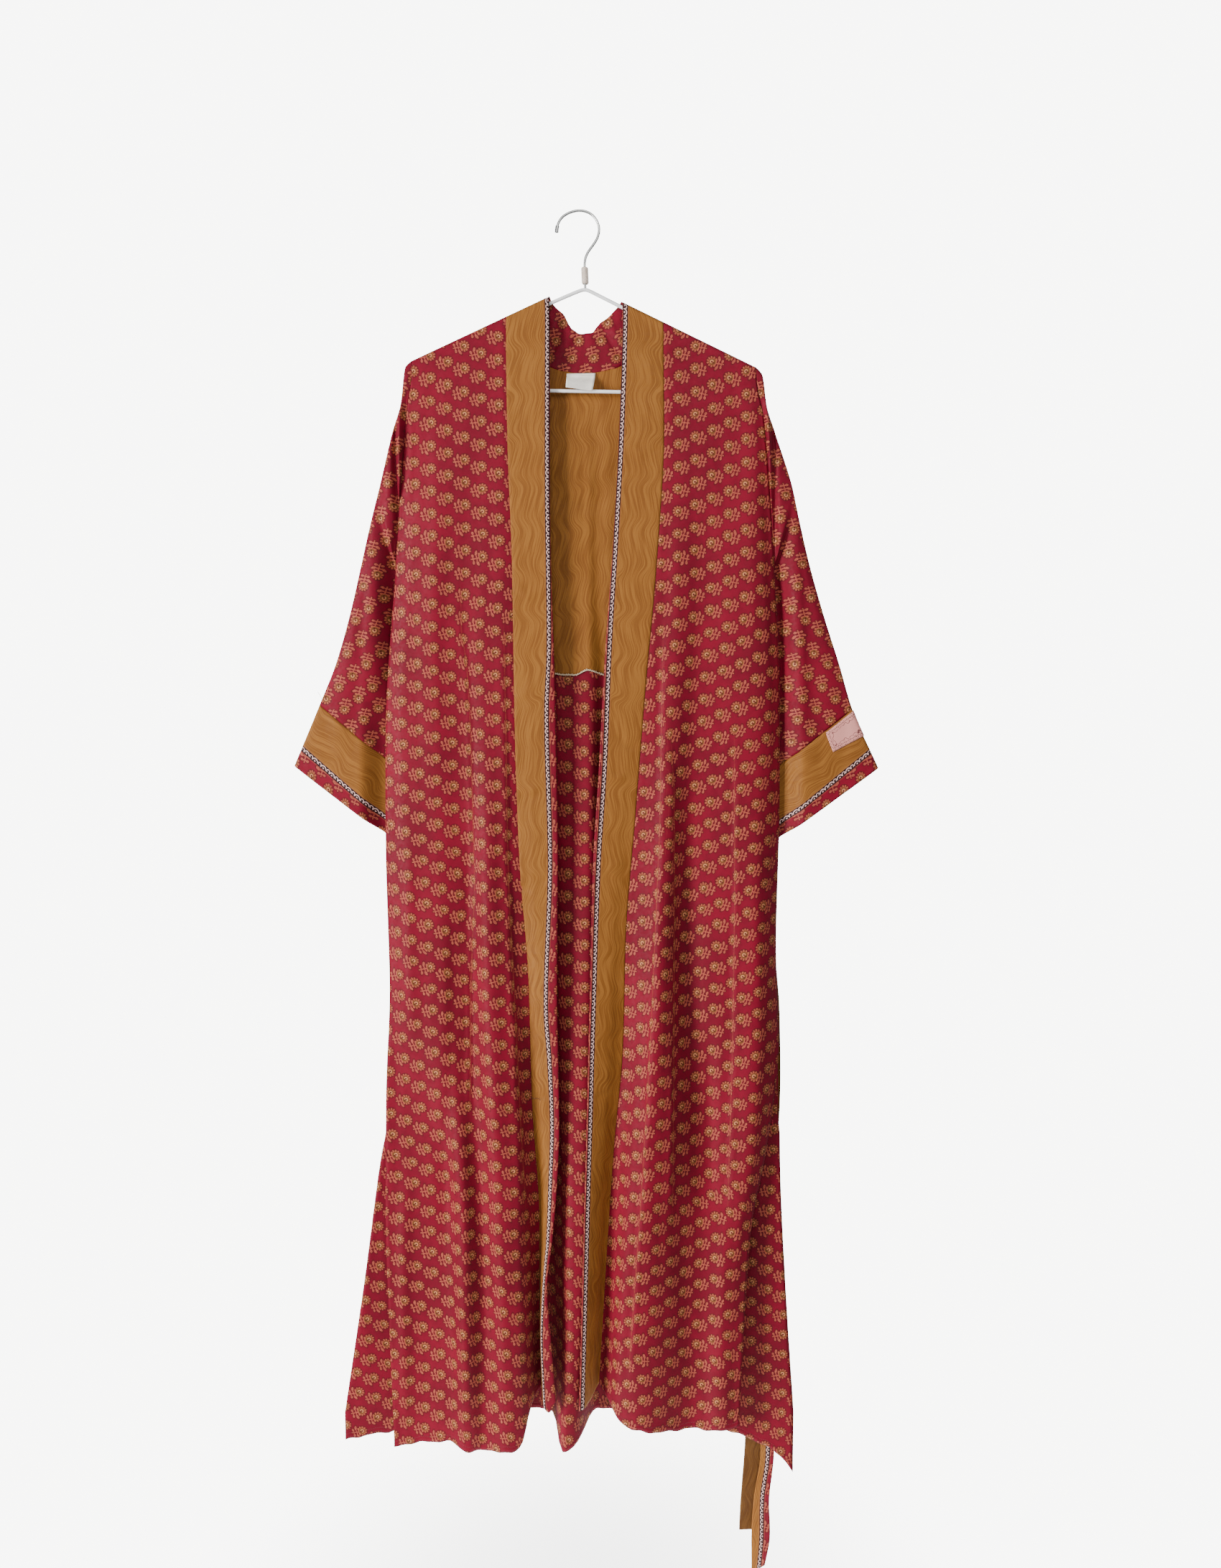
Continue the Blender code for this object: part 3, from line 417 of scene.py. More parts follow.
def in_front(x, z, drape):
    """Y of the front's cloth. Well below the arm it may lie as far back as its drape says."""
    free = (drape > FREE_DEPTH) & (crest(x) - z > EASE_FALL)
    return np.where(free, drape, -over_arm(x, z, drape))


def bump_over(d, reach, height):
    """A soft ridge at distance d from a line."""
    return height * np.exp(-(d / reach) ** 2)


def pucker(z, d, reach, height, fall):
    """Small puckers beside a seam, at distance d from their middle."""
    wave = np.sin(z / 3.1 + 1.7 * np.sin(z / 23.0)) + 0.6 * np.sin(z / 5.3 + 2.0)
    return bump_over(d, reach, height) * wave * ease((fall - 15.0) / 40.0)


def turnings(to_hem, to_side, sewn, sizes):
    """How far the doubled cloth stands out along the hem and along an open side."""
    hem, side = (1.0 - ease((d - sizes.hem) / 1.2) for d in (to_hem, to_side))
    return 0.45 * hem + 0.35 * side * (1.0 - sewn)


def sewn_side(z):
    """Share of the side seam that is sewn at this height, and of what lies below the arm."""
    return ease((z - SIDE_SEAM_END) / 40.0), ease((UNDERARM_Z - z) / 30.0)


def shut(depth, d):
    """Brings two layers together at a seam that lies at distance d."""
    left = np.clip(1.0 - d / SHUT_REACH, 0.0, 1.0)
    return mix(0.2, depth, np.sqrt(1.0 - left * left))


def slack(x, z, seed):
    """The small unevenness of hung cloth: waves that swell and die and never line up."""
    waves = ((86.0, 520.0, 0.7), (53.0, 330.0, 2.1), (31.0, 240.0, 4.4), (17.0, 130.0, 5.2))
    out = 0.0
    for k, (across, down, phase) in enumerate(waves):
        turn = seed * 1.7 + 2.1 * k
        bend = 1.9 * np.sin(z / (down * 0.6) + turn)
        bend = bend + 1.1 * np.sin(x / (across * 1.3) + z / down + turn)
        swell = np.sin(x / (across * 0.9) + phase + turn) * np.sin(z / (down * 0.45) + 1.4 * turn)
        wave = np.sin(2.0 * np.pi * x / across + phase + bend)
        out = out + across * (0.35 + 0.65 * swell) * wave
    return out / 120.0


def deeper(z):
    """Folds grow from the shoulders down."""
    return 1.1 + 1.7 * ease((-520.0 - z) / 620.0)


def ragged(x):
    """The small unevenness of a worn hem."""
    return 0.9 * np.sin(x / 5.3 + 1.0) + 0.8 * np.sin(x / 9.1) + 0.5 * np.sin(x / 2.9 + 2.0)


def side_x(panel, z):
    """Place of the side edge: it starts square at the shoulder's end."""
    first = panel.x("side", TOP)
    return mix(first, panel.x("side", z), ease((crest(first) - z) / EASE_FALL))


def front_point(panel, hem, fine, s, t, sizes):
    """Points of a front panel's outer face: s from the side to the band, t down.

    Past s = 1 the cloth goes on behind the band as the seam's allowance.
    """
    side_top, seam_top = float(panel.x("side", TOP)), float(panel.x("seam", TOP))
    lean = float(np.sign(seam_top - side_top))
    tuck = np.maximum(0.0, s - 1.0)
    s = np.minimum(s, 1.0)
    first = mix(side_top, seam_top, s)
    across = mix(panel.x("side", FOOT), panel.x("seam", FOOT), s)
    z = mix(crest(first), hem.at("z", across) + ragged(across), t)
    side, seam = panel.x("side", z), panel.x("seam", z)
    x = mix(first, mix(side, seam, s), ease((crest(first) - z) / EASE_FALL)) + lean * tuck
    fall = crest(x) - z
    width = np.abs(seam - side)
    to_side, to_band, to_hem = s * width, (1.0 - s) * width, (1.0 - t) * FRONT_RUN
    sewn, below_arm = sewn_side(z)
    y = in_front(x, z, panel.depth(x, z))
    y = mix(y, -shut(np.abs(y), to_side), sewn * below_arm)
    out = fine.at(x, z) * deeper(z) + slack(x, z, lean) * ease((fall - 12.0) / 120.0)
    out = sizes.folds * out * ease(to_side / 12.0 + 0.35 * (1.0 - sewn)) * ease(to_band / 14.0)
    out = out - bump_over(to_band, 2.4, sizes.seam_dip) * (tuck < 1e-6)
    out = out + pucker(z, to_band - 4.0, 5.0, 0.16, fall) + turnings(to_hem, to_side, sewn, sizes)
    out = (out - np.where(tuck > 0.0, 1.3, 0.0)) * ease(fall / 10.0)
    return x, y - out, z, to_side, to_hem


def band_point(panel, band, hem, fine, s, t, sizes):
    """Points of a front band's outer face: s from its seam to its free edge, t down."""
    lean = float(np.sign(panel.x("seam", TOP) - panel.x("side", TOP)))
    gap = lean * SEAM_GAP / 2.0
    first = mix(panel.x("seam", TOP) + gap, band.at("free_x", TOP_OF_BANDS), s)
    z = mix(crest(first), hem.at("z", s), t)
    seam = panel.x("seam", z) + gap
    scroll, free = band.at("scroll_x", z), band.at("free_x", z)
    x = mix(first, mix(seam, free, s), ease((crest(first) - z) / EASE_FALL))
    seam_y, scroll_y = panel.depth(seam - gap, z), band.at("scroll_y", z)
    xs = lean * np.stack([seam, mix(seam, scroll, 0.5), scroll, free], axis=-1)
    ys = np.stack([seam_y, mix(seam_y, scroll_y, 0.62), scroll_y, band.at("free_y", z)], axis=-1)
    y = in_front(x, z, curve(xs, ys, lean * x, level_ends=True))
    fall = crest(x) - z
    width = np.abs(free - seam)
    to_seam, to_free, to_hem = s * width, (1.0 - s) * width, (1.0 - t) * BAND_RUN
    out = sizes.folds * fine.at(x, z) - bump_over(to_seam, 1.8, sizes.seam_dip * 0.7)
    out = out + pucker(z, to_seam - 3.0, 4.0, 0.14, fall) - bump_over(to_free, 1.3, 0.8)
    out = out + 0.3 * np.sin(z / 41.0 + lean) * np.sin(z / 17.0) * ease(to_seam / 15.0)
    return x, y - out * ease(fall / 10.0), z, to_free, to_hem


def past_neck(x):
    return (x <= NECK_ENDS[0]) | (x >= NECK_ENDS[1])


def neck_z(x):
    """Height of the back neck seam, or of the shoulder beyond it."""
    x = np.asarray(x, float)
    return np.where(past_neck(x), crest(x), np.minimum(crest(x), NECKBAND.at("z", x)))


def back_depth(x, z):
    drape = BACK.depth(x, z)
    return np.where(crest(x) - z > EASE_FALL, drape, over_arm(x, z, drape))


def back_folds(x, z, sizes):
    """How far the back's own folds stand out of its depth."""
    fall = crest(x) - z
    out = FOLDS_BACK.at(x, z) * deeper(z) + 1.5 * slack(x, z, 2.6) * ease((fall - 12.0) / 200.0)
    return sizes.folds * out * ease(fall / 10.0)


def back_point(x_top, t, sizes):
    """Points of the back panel's outer face, from the place at the top and the share down."""
    s = (x_top - BACK_TOP[0]) / (BACK_TOP[1] - BACK_TOP[0])
    top = neck_z(x_top)
    slope = neck_z(x_top + 0.5) - neck_z(x_top - 0.5)
    lowered = top - NECK_GAP * np.sqrt(1.0 + slope * slope)
    top = np.where(top < crest(x_top) - 0.01, lowered, top)
    across = mix(BACK.x("right", BACK_FOOT), BACK.x("left", BACK_FOOT), s)
    z = mix(top, HEM_BACK.at("z", across) + ragged(across), t)
    free = ease((SIDE_SEAM_END - z) / 100.0)
    right, left = (mix(panel.x("side", z), BACK.x(side, z), free)
                   for side, panel in (("right", FRONT_RIGHT), ("left", FRONT_LEFT)))
    x = mix(x_top, mix(right, left, s), ease((crest(x_top) - z) / EASE_FALL))
    to_side, to_hem = np.minimum(x - right, left - x), (1.0 - t) * BACK_RUN
    sewn, below_arm = sewn_side(z)
    y = back_depth(x, z)
    y = mix(y, shut(y, to_side), sewn * below_arm)
    out = back_folds(x, z, sizes) * ease(to_side / 12.0 + 0.35 * (1.0 - sewn))
    out = (out - turnings(to_hem, to_side, sewn, sizes)) * ease((crest(x) - z) / 10.0)
    return x, y + out, z, to_side, to_hem


def neckband_point(seam_x, t):
    """Points of the neckband's outer face: t from the neck seam to the free top edge."""
    start = np.clip(seam_x, NECK_ENDS[0] + NECK_GAP, NECK_ENDS[1] - NECK_GAP)
    x = mix(start, NECKBAND.at("top_x", seam_x), t)
    z = np.minimum(crest(x), mix(NECKBAND.at("z", seam_x), NECKBAND.at("top_z", seam_x), t))
    z = np.where(past_neck(seam_x), crest(x), z)
    return x, back_depth(x, z), z


def sleeve_point(table, panel, fine, a, t, sizes):
    """Points of a sleeve's outer face: a from the front under edge (-1) round to the back one."""
    s = np.abs(a)
    top_x, top_z = table.at("top_x", t), table.at("top_z", t)
    under_x, under_z = table.at("under_x", t), table.at("under_z", t)
    lean = float(np.sign(table.rows[0, 1]))
    under_x = np.where(t <= ARMHOLE_END, side_x(panel, under_z) + lean * SEAM_GAP, under_x)
    x, z = mix(top_x, under_x, s), mix(top_z, under_z, s)
    width = np.hypot(under_x - top_x, under_z - top_z)
    radius = mix(ARM_REACH, FOLD_RADIUS, ease(t / 0.1))
    reach = np.maximum(0.0, 1.0 - s * width / radius)
    depth = radius * np.sqrt(1.0 - reach * reach)
    depth = depth + (table.at("belly", t) - radius) * np.sin(np.pi * s)
    edge = over_arm(under_x, under_z, panel.y("side", under_z))
    edge = mix(edge, 0.3, ease((t - ARMHOLE_END + 0.03) / 0.04))
    depth = mix(depth, edge, ease((s - 0.75) / 0.25))
    inside = lean * (panel.x("side", z) - x)
    behind = BACK.depth(x, z) + depth + BEHIND_GAP
    middle = behind * ease((inside + 30.0) / 28.0) * ease((t - ARMHOLE_END) / 0.055)
    to_under, to_fold = (1.0 - s) * width, s * width
    out = sizes.folds * (fine.at(x, z) + 0.8 * slack(x, z, 3.0 * lean + np.sign(a)))
    out = out * ease(to_fold / 12.0) * ease(to_under / 6.0) * ease((t - 0.04) / 0.12)
    out = out - bump_over(to_under, 2.0, sizes.seam_dip * 0.6) * (t < ARMHOLE_END) * ease(t / 0.04)
    return x, middle + np.sign(a) * (depth + out), z, to_under, width


class Creases:
    """Fine folds: each has a width, a height outwards and the points (x, z) it runs through."""

    def __init__(self, rows):
        self.rows = rows

    def at(self, x, z):
        out = np.zeros(np.broadcast(x, z).shape)
        for width, height, points in self.rows:
            points = np.array(points, float)
            legs = np.hypot(*np.diff(points, axis=0).T)
            run = np.concatenate(([0.0], np.cumsum(legs)))
            best = np.full(out.shape, 1e9)
            along = np.zeros(out.shape)
            for k, leg in enumerate(legs):
                step = (points[k + 1] - points[k]) / leg
                dx, dz = x - points[k, 0], z - points[k, 1]
                at = np.clip(dx * step[0] + dz * step[1], 0.0, leg)
                d = np.hypot(dx - at * step[0], dz - at * step[1])
                along = np.where(d < best, run[k] + at, along)
                best = np.minimum(d, best)
            share = along / run[-1]
            fade = ease(np.minimum(share, 1.0 - share) / 0.3)
            out += height * fade * np.exp(-(best / width) ** 2)
        return out


class Folds:
    """Creases and sharp tucks of one panel.

    A tuck hides a little cloth along a line, so the print jumps there: each row has the hidden
    width, the lift of the fold's edge, its side (-1 lifts the side at lower x) and points (z, x).
    """

    def __init__(self, creases, tucks=()):
        self.creases = Creases(creases)
        self.tucks = [(*row[:3], np.array(sorted(row[3]), float)) for row in tucks]

    def reach(self, x, z, points):
        """Distance from a tuck's line, and how much of the tuck there is at this height."""
        d = x - np.interp(z, points[:, 0], points[:, 1])
        low, high = points[0, 0], points[-1, 0]
        return d, ease((z - low) / 60.0 + 0.4) * ease((high - z) / 120.0)

    def at(self, x, z):
        out = self.creases.at(x, z)
        for _, lift, side, points in self.tucks:
            d, amount = self.reach(x, z, points)
            d = d * side
            rise = ease((d + 0.6) / 1.2)
            fold = rise * np.exp(-np.maximum(d, 0.0) / 9.0) - 0.55 * (1.0 - rise) * np.exp(d / 7.0)
            out = out + lift * amount * fold
        return out

    def rubbed_and_lit(self, x, z):
        """Distance from the nearest tuck's edge, and how much its edge is lightened, as worn dye
        and as a painted highlight of the fold.
        """
        best, strength = np.full(x.shape, FAR), np.zeros(x.shape)
        for _, _, _, points in self.tucks:
            d, amount = self.reach(x, z, points)
            nearer = np.abs(d) < np.abs(best)
            best, strength = np.where(nearer, d, best), np.where(nearer, amount, strength)
        return best, strength

    def hidden(self, x, z):
        """Width of cloth that the tucks have taken up, from the lower x on."""
        out = np.zeros(x.shape)
        for hidden, _, _, points in self.tucks:
            d, amount = self.reach(x, z, points)
            out = out + hidden * amount * ease((d + 0.8) / 1.6)
        return out


FOLDS_FRONT_RIGHT = Folds(
    (
        (13, 1.6, ((-113, -650), (-113, -754), (-111, -884), (-104, -1035), (-100, -1200))),
        (10, -1.3, ((-127, -685), (-133, -797), (-136, -928), (-148, -1107))),
        (13, 2, ((-143, -994), (-143, -1145), (-142, -1327), (-140, -1500))),
        (9, -1.2, ((-149, -753), (-154, -927), (-163, -1105), (-170, -1300))),
        (8, 1, ((-201, -200), (-198, -249), (-201, -314), (-208, -364))),
        (5, -1, ((-194, -203), (-191, -257), (-194, -322), (-201, -380))),
        (16, 1.2, ((-120, -180), (-150, -300), (-170, -420), (-178, -560))),
        (12, -0.9, ((-160, -160), (-178, -240), (-186, -330))),
        (9, 1.1, ((-205, -700), (-208, -850), (-205, -1000))),
        (8, 1.4, ((-215, -1120), (-219, -1250), (-221, -1400), (-219, -1500))),
    ),
    (
        (6, 1.1, -1, ((-395, -141), (-479, -140), (-520, -134), (-579, -131), (-668, -129),
                      (-786, -127), (-916, -134), (-1055, -135))),
        (7, 1.6, -1, ((-430, -90), (-476, -90), (-606, -88), (-665, -88), (-785, -86),
                      (-914, -80), (-1052, -74), (-1175, -68))),
    ),
)
FOLDS_FRONT_LEFT = Folds(
    (
        (14, 1.7, ((95, -582), (100, -710), (96, -840), (88, -973), (81, -1107), (76, -1335))),
        (16, -2.2, ((121, -640), (125, -796), (130, -927), (144, -1069), (154, -1240))),
        (8, -1, ((152, -927), (157, -1033), (160, -1195))),
        (17, 1.7, ((199, -600), (207, -754), (212, -929), (205, -1108), (190, -1250))),
        (15, 1.2, ((125, -190), (150, -300), (170, -420), (178, -560))),
        (11, -0.9, ((172, -170), (190, -250), (196, -340))),
        (10, 1.2, ((176, -1180), (172, -1300), (168, -1420), (166, -1500))),
    ),
    (
        (6, 1.5, 1, ((-447, 98), (-711, 94), (-956, 84), (-1172, 72), (-1380, 58))),
        (7, 1.7, -1, ((-566, 104), (-668, 111), (-796, 112), (-990, 112), (-1178, 111))),
        (5, 0.9, 1, ((-566, 182), (-796, 184), (-990, 183), (-1178, 179))),
    ),
)
FOLDS_BACK = Folds(
    (
        (18, 2.2, ((-120, -260), (-128, -600), (-140, -1000), (-150, -1400))),
        (15, -2, ((-90, -300), (-95, -700), (-100, -1100), (-105, -1450))),
        (20, 2.4, ((95, -240), (100, -600), (108, -1000), (118, -1440))),
        (14, -1.8, ((130, -400), (135, -800), (140, -1200), (150, -1480))),
        (16, 2, ((180, -500), (186, -900), (196, -1480))),
        (16, 1.8, ((-190, -460), (-196, -900), (-215, -1470))),
        (10, 0.8, ((-60, -260), (-20, -330), (20, -330), (60, -260))),
    ),
)
FOLDS_BAND_RIGHT = Folds(
    (
        (3, -1.1, ((-84, -782), (-72, -786), (-58, -793))),
        (3.5, 1, ((-84, -774), (-74, -777), (-62, -783))),
        (2.4, -0.9, ((-58, -770), (-46, -778), (-36, -772))),
        (4, 0.9, ((-78, -660), (-60, -668), (-44, -664))),
        (4, -0.8, ((-76, -673), (-60, -679), (-46, -674))),
        (2.2, -0.9, ((-62, -1040), (-50, -1044), (-40, -1040))),
        (5, 0.9, ((-80, -420), (-62, -440), (-45, -432))),
        (6, 0.7, ((-80, -560), (-60, -548), (-46, -560))),
    ),
)
FOLDS_BAND_LEFT = Folds(
    (
        (2.4, -1, ((14, -1042), (24, -1040), (38, -1035))),
        (5, 1, ((24, -640), (40, -655), (60, -648))),
        (4, -0.9, ((40, -600), (58, -618), (70, -612))),
        (6, 0.9, ((22, -740), (38, -760), (54, -752))),
        (5, 0.8, ((50, -260), (70, -275), (88, -268))),
    ),
)
FOLDS_NECKBAND = Folds(
    (
        (3, 1.9, ((-19, -114), (-22, -130), (-30, -150), (-42, -166))),
        (3.5, -1.9, ((-27, -108), (-31, -128), (-40, -150), (-52, -160))),
        (2.6, 1.6, ((24, -121), (30, -136), (40, -152), (52, -164))),
        (3, -1.7, ((33, -116), (39, -132), (52, -148), (64, -156))),
        (6, 1, ((-4, -134), (-6, -150), (-10, -176))),
    ),
)
FOLDS_SLEEVE_RIGHT = Folds(
    (
        (3.6, 5, ((-209, -160), (-210, -240), (-210, -330), (-207, -430))),
        (2.6, -5, ((-215, -150), (-216, -230), (-216, -300), (-213, -380), (-208, -450))),
        (3, -4, ((-203, -190), (-204, -260), (-206, -350), (-211, -440), (-216, -520))),
        (6, 3, ((-222, -190), (-225, -280), (-226, -360))),
        (14, 5, ((-226, -330), (-238, -430), (-240, -540), (-232, -640))),
        (9, -4.5, ((-222, -380), (-222, -480), (-222, -560), (-215, -660))),
        (16, 2.2, ((-240, -320), (-262, -430), (-280, -540), (-296, -640))),
        (12, -1.6, ((-232, -310), (-252, -440), (-262, -560), (-268, -660))),
        (8, 1.2, ((-214, -230), (-222, -320), (-228, -400))),
    ),
)
FOLDS_SLEEVE_LEFT = Folds(
    (
        (4, 4, ((217, -170), (220, -260), (222, -350), (222, -440))),
        (3, -4, ((223, -180), (226, -260), (229, -340), (230, -420))),
        (14, 5, ((236, -330), (250, -430), (254, -540), (246, -640))),
        (9, -4.5, ((232, -380), (236, -480), (238, -560), (232, -660))),
        (16, 2.2, ((252, -320), (274, -430), (292, -540), (308, -640))),
        (12, -1.6, ((244, -310), (264, -440), (276, -560), (284, -660))),
        (8, 1.2, ((224, -230), (232, -320), (238, -400))),
    ),
)


def maths(operation, turned_round=False):
    """A method of Value that adds one Math node; turned round, the other value comes first."""
    def method(self, *others):
        values = (*others, self) if turned_round else (self, *others)
        return self.finish.node("ShaderNodeMath", {"operation": operation}, values)
    return method


class Value:
    """A shader socket that takes part in Python sums."""

    def __init__(self, finish, socket):
        self.finish = finish
        self.socket = socket

    __add__ = __radd__ = maths("ADD")
    __sub__, __rsub__ = maths("SUBTRACT"), maths("SUBTRACT", True)
    __mul__ = __rmul__ = maths("MULTIPLY")
    __truediv__, __rtruediv__ = maths("DIVIDE"), maths("DIVIDE", True)
    __abs__, sin, root, fract = map(maths, ("ABSOLUTE", "SINE", "SQRT", "FRACT"))
    above, least, most, angle = map(maths, ("GREATER_THAN", "MINIMUM", "MAXIMUM", "ARCTAN2"))

    def step(self, low, high, at_low=0.0, at_high=1.0):
        """A smooth step from at_low to at_high while the value goes from low to high."""
        settings = {"interpolation_type": "SMOOTHSTEP"}
        return self.finish.node("ShaderNodeMapRange", settings, (self, low, high, at_low, at_high))

    def blend(self, low, high):
        """Between two colours by this value."""
        inputs = {0: self, 6: low, 7: high}
        return self.finish.node("ShaderNodeMix", {"data_type": "RGBA"}, inputs, 2)


class Finish:
    """A material built from sums of sockets around one Principled shader."""

    def __init__(self, name, **surface):
        self.material = bpy.data.materials.new(name)
        self.material.use_nodes = True
        self.tree = self.material.node_tree
        self.shader = self.tree.nodes["Principled BSDF"]
        for socket, value in surface.items():
            self.shader.inputs[socket.replace("_", " ")].default_value = value

    def node(self, kind, settings=None, inputs=(), out=0):
        """Adds a node: its settings first, then the values or links of its sockets."""
        made = self.tree.nodes.new(kind)
        for setting, value in (settings or {}).items():
            setattr(made, setting, value)
        pairs = inputs.items() if isinstance(inputs, dict) else enumerate(inputs)
        for place, value in pairs:
            if isinstance(value, Value):
                self.tree.links.new(value.socket, made.inputs[place])
            else:
                opaque = made.inputs[place].type == "RGBA" and len(value) == 3
                made.inputs[place].default_value = (*value, 1.0) if opaque else value
        return Value(self, made.outputs[out])

    def feed(self, socket, value):
        self.tree.links.new(value.socket, self.shader.inputs[socket])

    def parts(self, vector):
        """The X and Y of a vector, in millimetres."""
        return [self.node("ShaderNodeSeparateXYZ", None, (vector,), k) * 1000.0 for k in (0, 1)]

    def map(self, layer):
        """A piece's own map, in millimetres."""
        return self.parts(self.node("ShaderNodeUVMap", {"uv_map": layer}))

    def point(self):
        return self.node("ShaderNodeTexCoord", None, (), 3)

    def noise(self, vector, scale, detail=2.0, roughness=0.5):
        inputs = {"Vector": vector, "Scale": scale, "Detail": detail, "Roughness": roughness}
        return self.node("ShaderNodeTexNoise", None, inputs)

    def vector(self, x, y, z=0.0):
        return self.node("ShaderNodeCombineXYZ", None, (x, y, z))

    def shade(self, colour, light, amount):
        """A colour made lighter or darker by a value around one."""
        inputs = {0: amount, 6: colour, 7: light}
        settings = {"data_type": "RGBA", "blend_type": "MULTIPLY"}
        return self.node("ShaderNodeMix", settings, inputs, 2)

    def rough(self, height, distance):
        """The bump that the surface has, height in metres once multiplied by distance."""
        inputs = {"Strength": 1.0, "Distance": distance, "Height": height}
        self.feed("Normal", self.node("ShaderNodeBump", None, inputs))


def ellipse(x, y, middle, turn, long, wide):
    """How far a point is from the middle of an ellipse, as a share of its size."""
    c, s = math.cos(math.radians(turn)), math.sin(math.radians(turn))
    dx, dy = x - middle[0], y - middle[1]
    a = (dx * c + dy * s) / long
    b = (dy * c - dx * s) / wide
    return (a * a + b * b).root()


# Prints: the flowers' pitch, lean, turn and petals, where the border's red margin starts, the
# run of the waves, the length of one scroll, and the row of stitches above a hem
PRINT_ALONG, PRINT_ACROSS = 39.5, 26.0
PRINT_LEAN = 0.26
MOTIF_TURN = math.radians(16.0)
PETALS = 11.0
MARGIN_START = 20.75
WAVE_RUN = 51.0
SCROLL_STEP = 13.1
STITCH_LINE = 7.0


def flower_print(u, v):
    """The flower print: a sprig in every place of a half-drop grid that leans with the cloth.

    u runs across the cloth, towards the side that the flowers face, and v up it, in millimetres.
    It gives the sprig, its petals, the disc round its heart, the pale hook in the heart, the
    dark of the heart, and the dark edge round all of it.
    """
    a, b = u / PRINT_ALONG, (v - u * PRINT_LEAN) / PRINT_ACROSS
    u1, v1 = (a.fract() - 0.5) * PRINT_ALONG, (b.fract() - 0.5) * PRINT_ACROSS
    u2 = ((a + 0.5).fract() - 0.5) * PRINT_ALONG
    v2 = ((b + 0.5).fract() - 0.5) * PRINT_ACROSS
    near = (u2 * u2 + v2 * v2).above(u1 * u1 + v1 * v1)
    dx = u2 + near * (u1 - u2)
    dz = v2 + near * (v1 - v2) + dx * PRINT_LEAN
    c, s = math.cos(MOTIF_TURN), math.sin(MOTIF_TURN)
    x, y = dx * c + dz * s - 4.0, dz * c - dx * s
    up = abs(y)
    r = (x * x + y * y).root()
    gap = abs((y.angle(x) * (PETALS / (2.0 * math.pi)) + 100.5).fract() - 0.5)
    lobe = gap * (2.0 * math.pi / PETALS) * r
    face = x.step(-4.8, -4.0)
    petal = lobe.step(1.25, 0.75) * r.step(3.7, 4.1)
    petal = petal * (r + lobe * lobe * 0.5).step(6.9, 6.2) * face
    calyx = abs(x + 4.1).step(1.0, 0.5) * up.step(4.7, 4.0)
    flat = abs(y - x * x * 0.006 + 0.5)
    stem = flat.step(0.95, 0.45) * x.step(-14.2, -13.5) * x.step(-4.2, -4.8)
    stalk = abs(x + 7.2).least(abs(x + 11.1))
    stalks = stalk.step(0.85, 0.4) * up.step(4.9, 4.3)
    leaf = ellipse(x, up, (-6.7, 5.7), 68.0, 3.0, 1.5)
    leaves = leaf.least(ellipse(x, up, (-11.2, 3.8), 96.0, 2.0, 1.4))
    sprig = calyx.most(stem).most(stalks).most(leaves.step(1.15, 0.8))
    disc = r.step(4.2, 3.6)
    rx = x - 0.3
    ring = (rx * rx + y * y).root()
    hook = abs(ring - 1.7).step(0.95, 0.4) * (x * 0.9 + y * 0.5).step(-1.4, -0.4)
    slot = abs(y + 0.7).step(0.9, 0.4) * x.step(-0.2, -0.8) * x.step(-3.4, -2.4)
    dark = ring.step(1.3, 0.7).most(slot)
    edge = leaves.step(1.9, 1.2).most(r.step(8.0, 6.9) * x.step(-6.2, -5.2))
    edge = edge.most(flat.step(2.0, 0.9) * x.step(-15.3, -14.3) * x.step(-4.2, -4.8))
    edge = edge.most(stalk.step(1.8, 0.8) * up.step(6.0, 5.0))
    return sprig, petal, disc, hook, dark, edge


def red_cloth(f, u, v, colours):
    """Red cloth with its flower print, and the soft mottling of worn dye."""
    cloud = f.noise(f.vector(u * 0.014, v * 0.009), 1.0, 3.0)
    small = f.noise(f.vector(u * 0.10, v * 0.10), 1.0, 2.0)
    wobble = f.noise(f.vector(u * 0.031, v * 0.031), 1.0, 1.0) - 0.5
    speck = f.noise(f.vector(u * 0.75, v * 0.75), 1.0, 1.0).step(0.38, 0.62, 0.62, 1.0)
    u, v = u + (small - 0.5) * 1.1 + wobble * 3.0, v - (small - 0.5) * 0.9 + wobble * 4.0
    sprig, petal, disc, hook, dark, edge = flower_print(u, v)
    ground = (cloud * 0.7 + small * 0.3).step(0.38, 0.64).blend(colours["red_deep"], colours["red"])
    ground = (edge * 0.72).blend(ground, colours["outline"])
    worn = small.step(0.3, 0.7, 0.82, 1.0) * speck
    out = (sprig * worn).blend(ground, colours["motif"])
    out = (disc * 0.95).blend(out, colours["eye"])
    out = (petal * worn).blend(out, colours["petal"])
    out = dark.blend(out, colours["outline"])
    return hook.blend(out, colours["cream"])


def wave_cloth(f, u, v, colours):
    """Ochre cloth printed with wavering stripes that run along v, part and join."""
    drift = f.noise(f.vector(u * 0.024, v * 0.013), 1.0, 1.0) - 0.5
    bend = (v * (2.0 * math.pi / WAVE_RUN) + drift * 4.6).sin()
    bend = bend + (v * (4.0 * math.pi / WAVE_RUN) + drift * 5.0).sin() * 0.22
    across = u + bend * 3.5 + drift * 17.0
    broad = f.noise(f.vector(across * 0.15, v * 0.012), 1.0, 0.0)
    fine = f.noise(f.vector(across * 0.78, v * 0.026), 1.0, 0.5, 0.5)
    tone = broad * 0.25 + fine * 0.75
    return tone.step(0.38, 0.62).blend(colours["ochre_deep"], colours["ochre"])


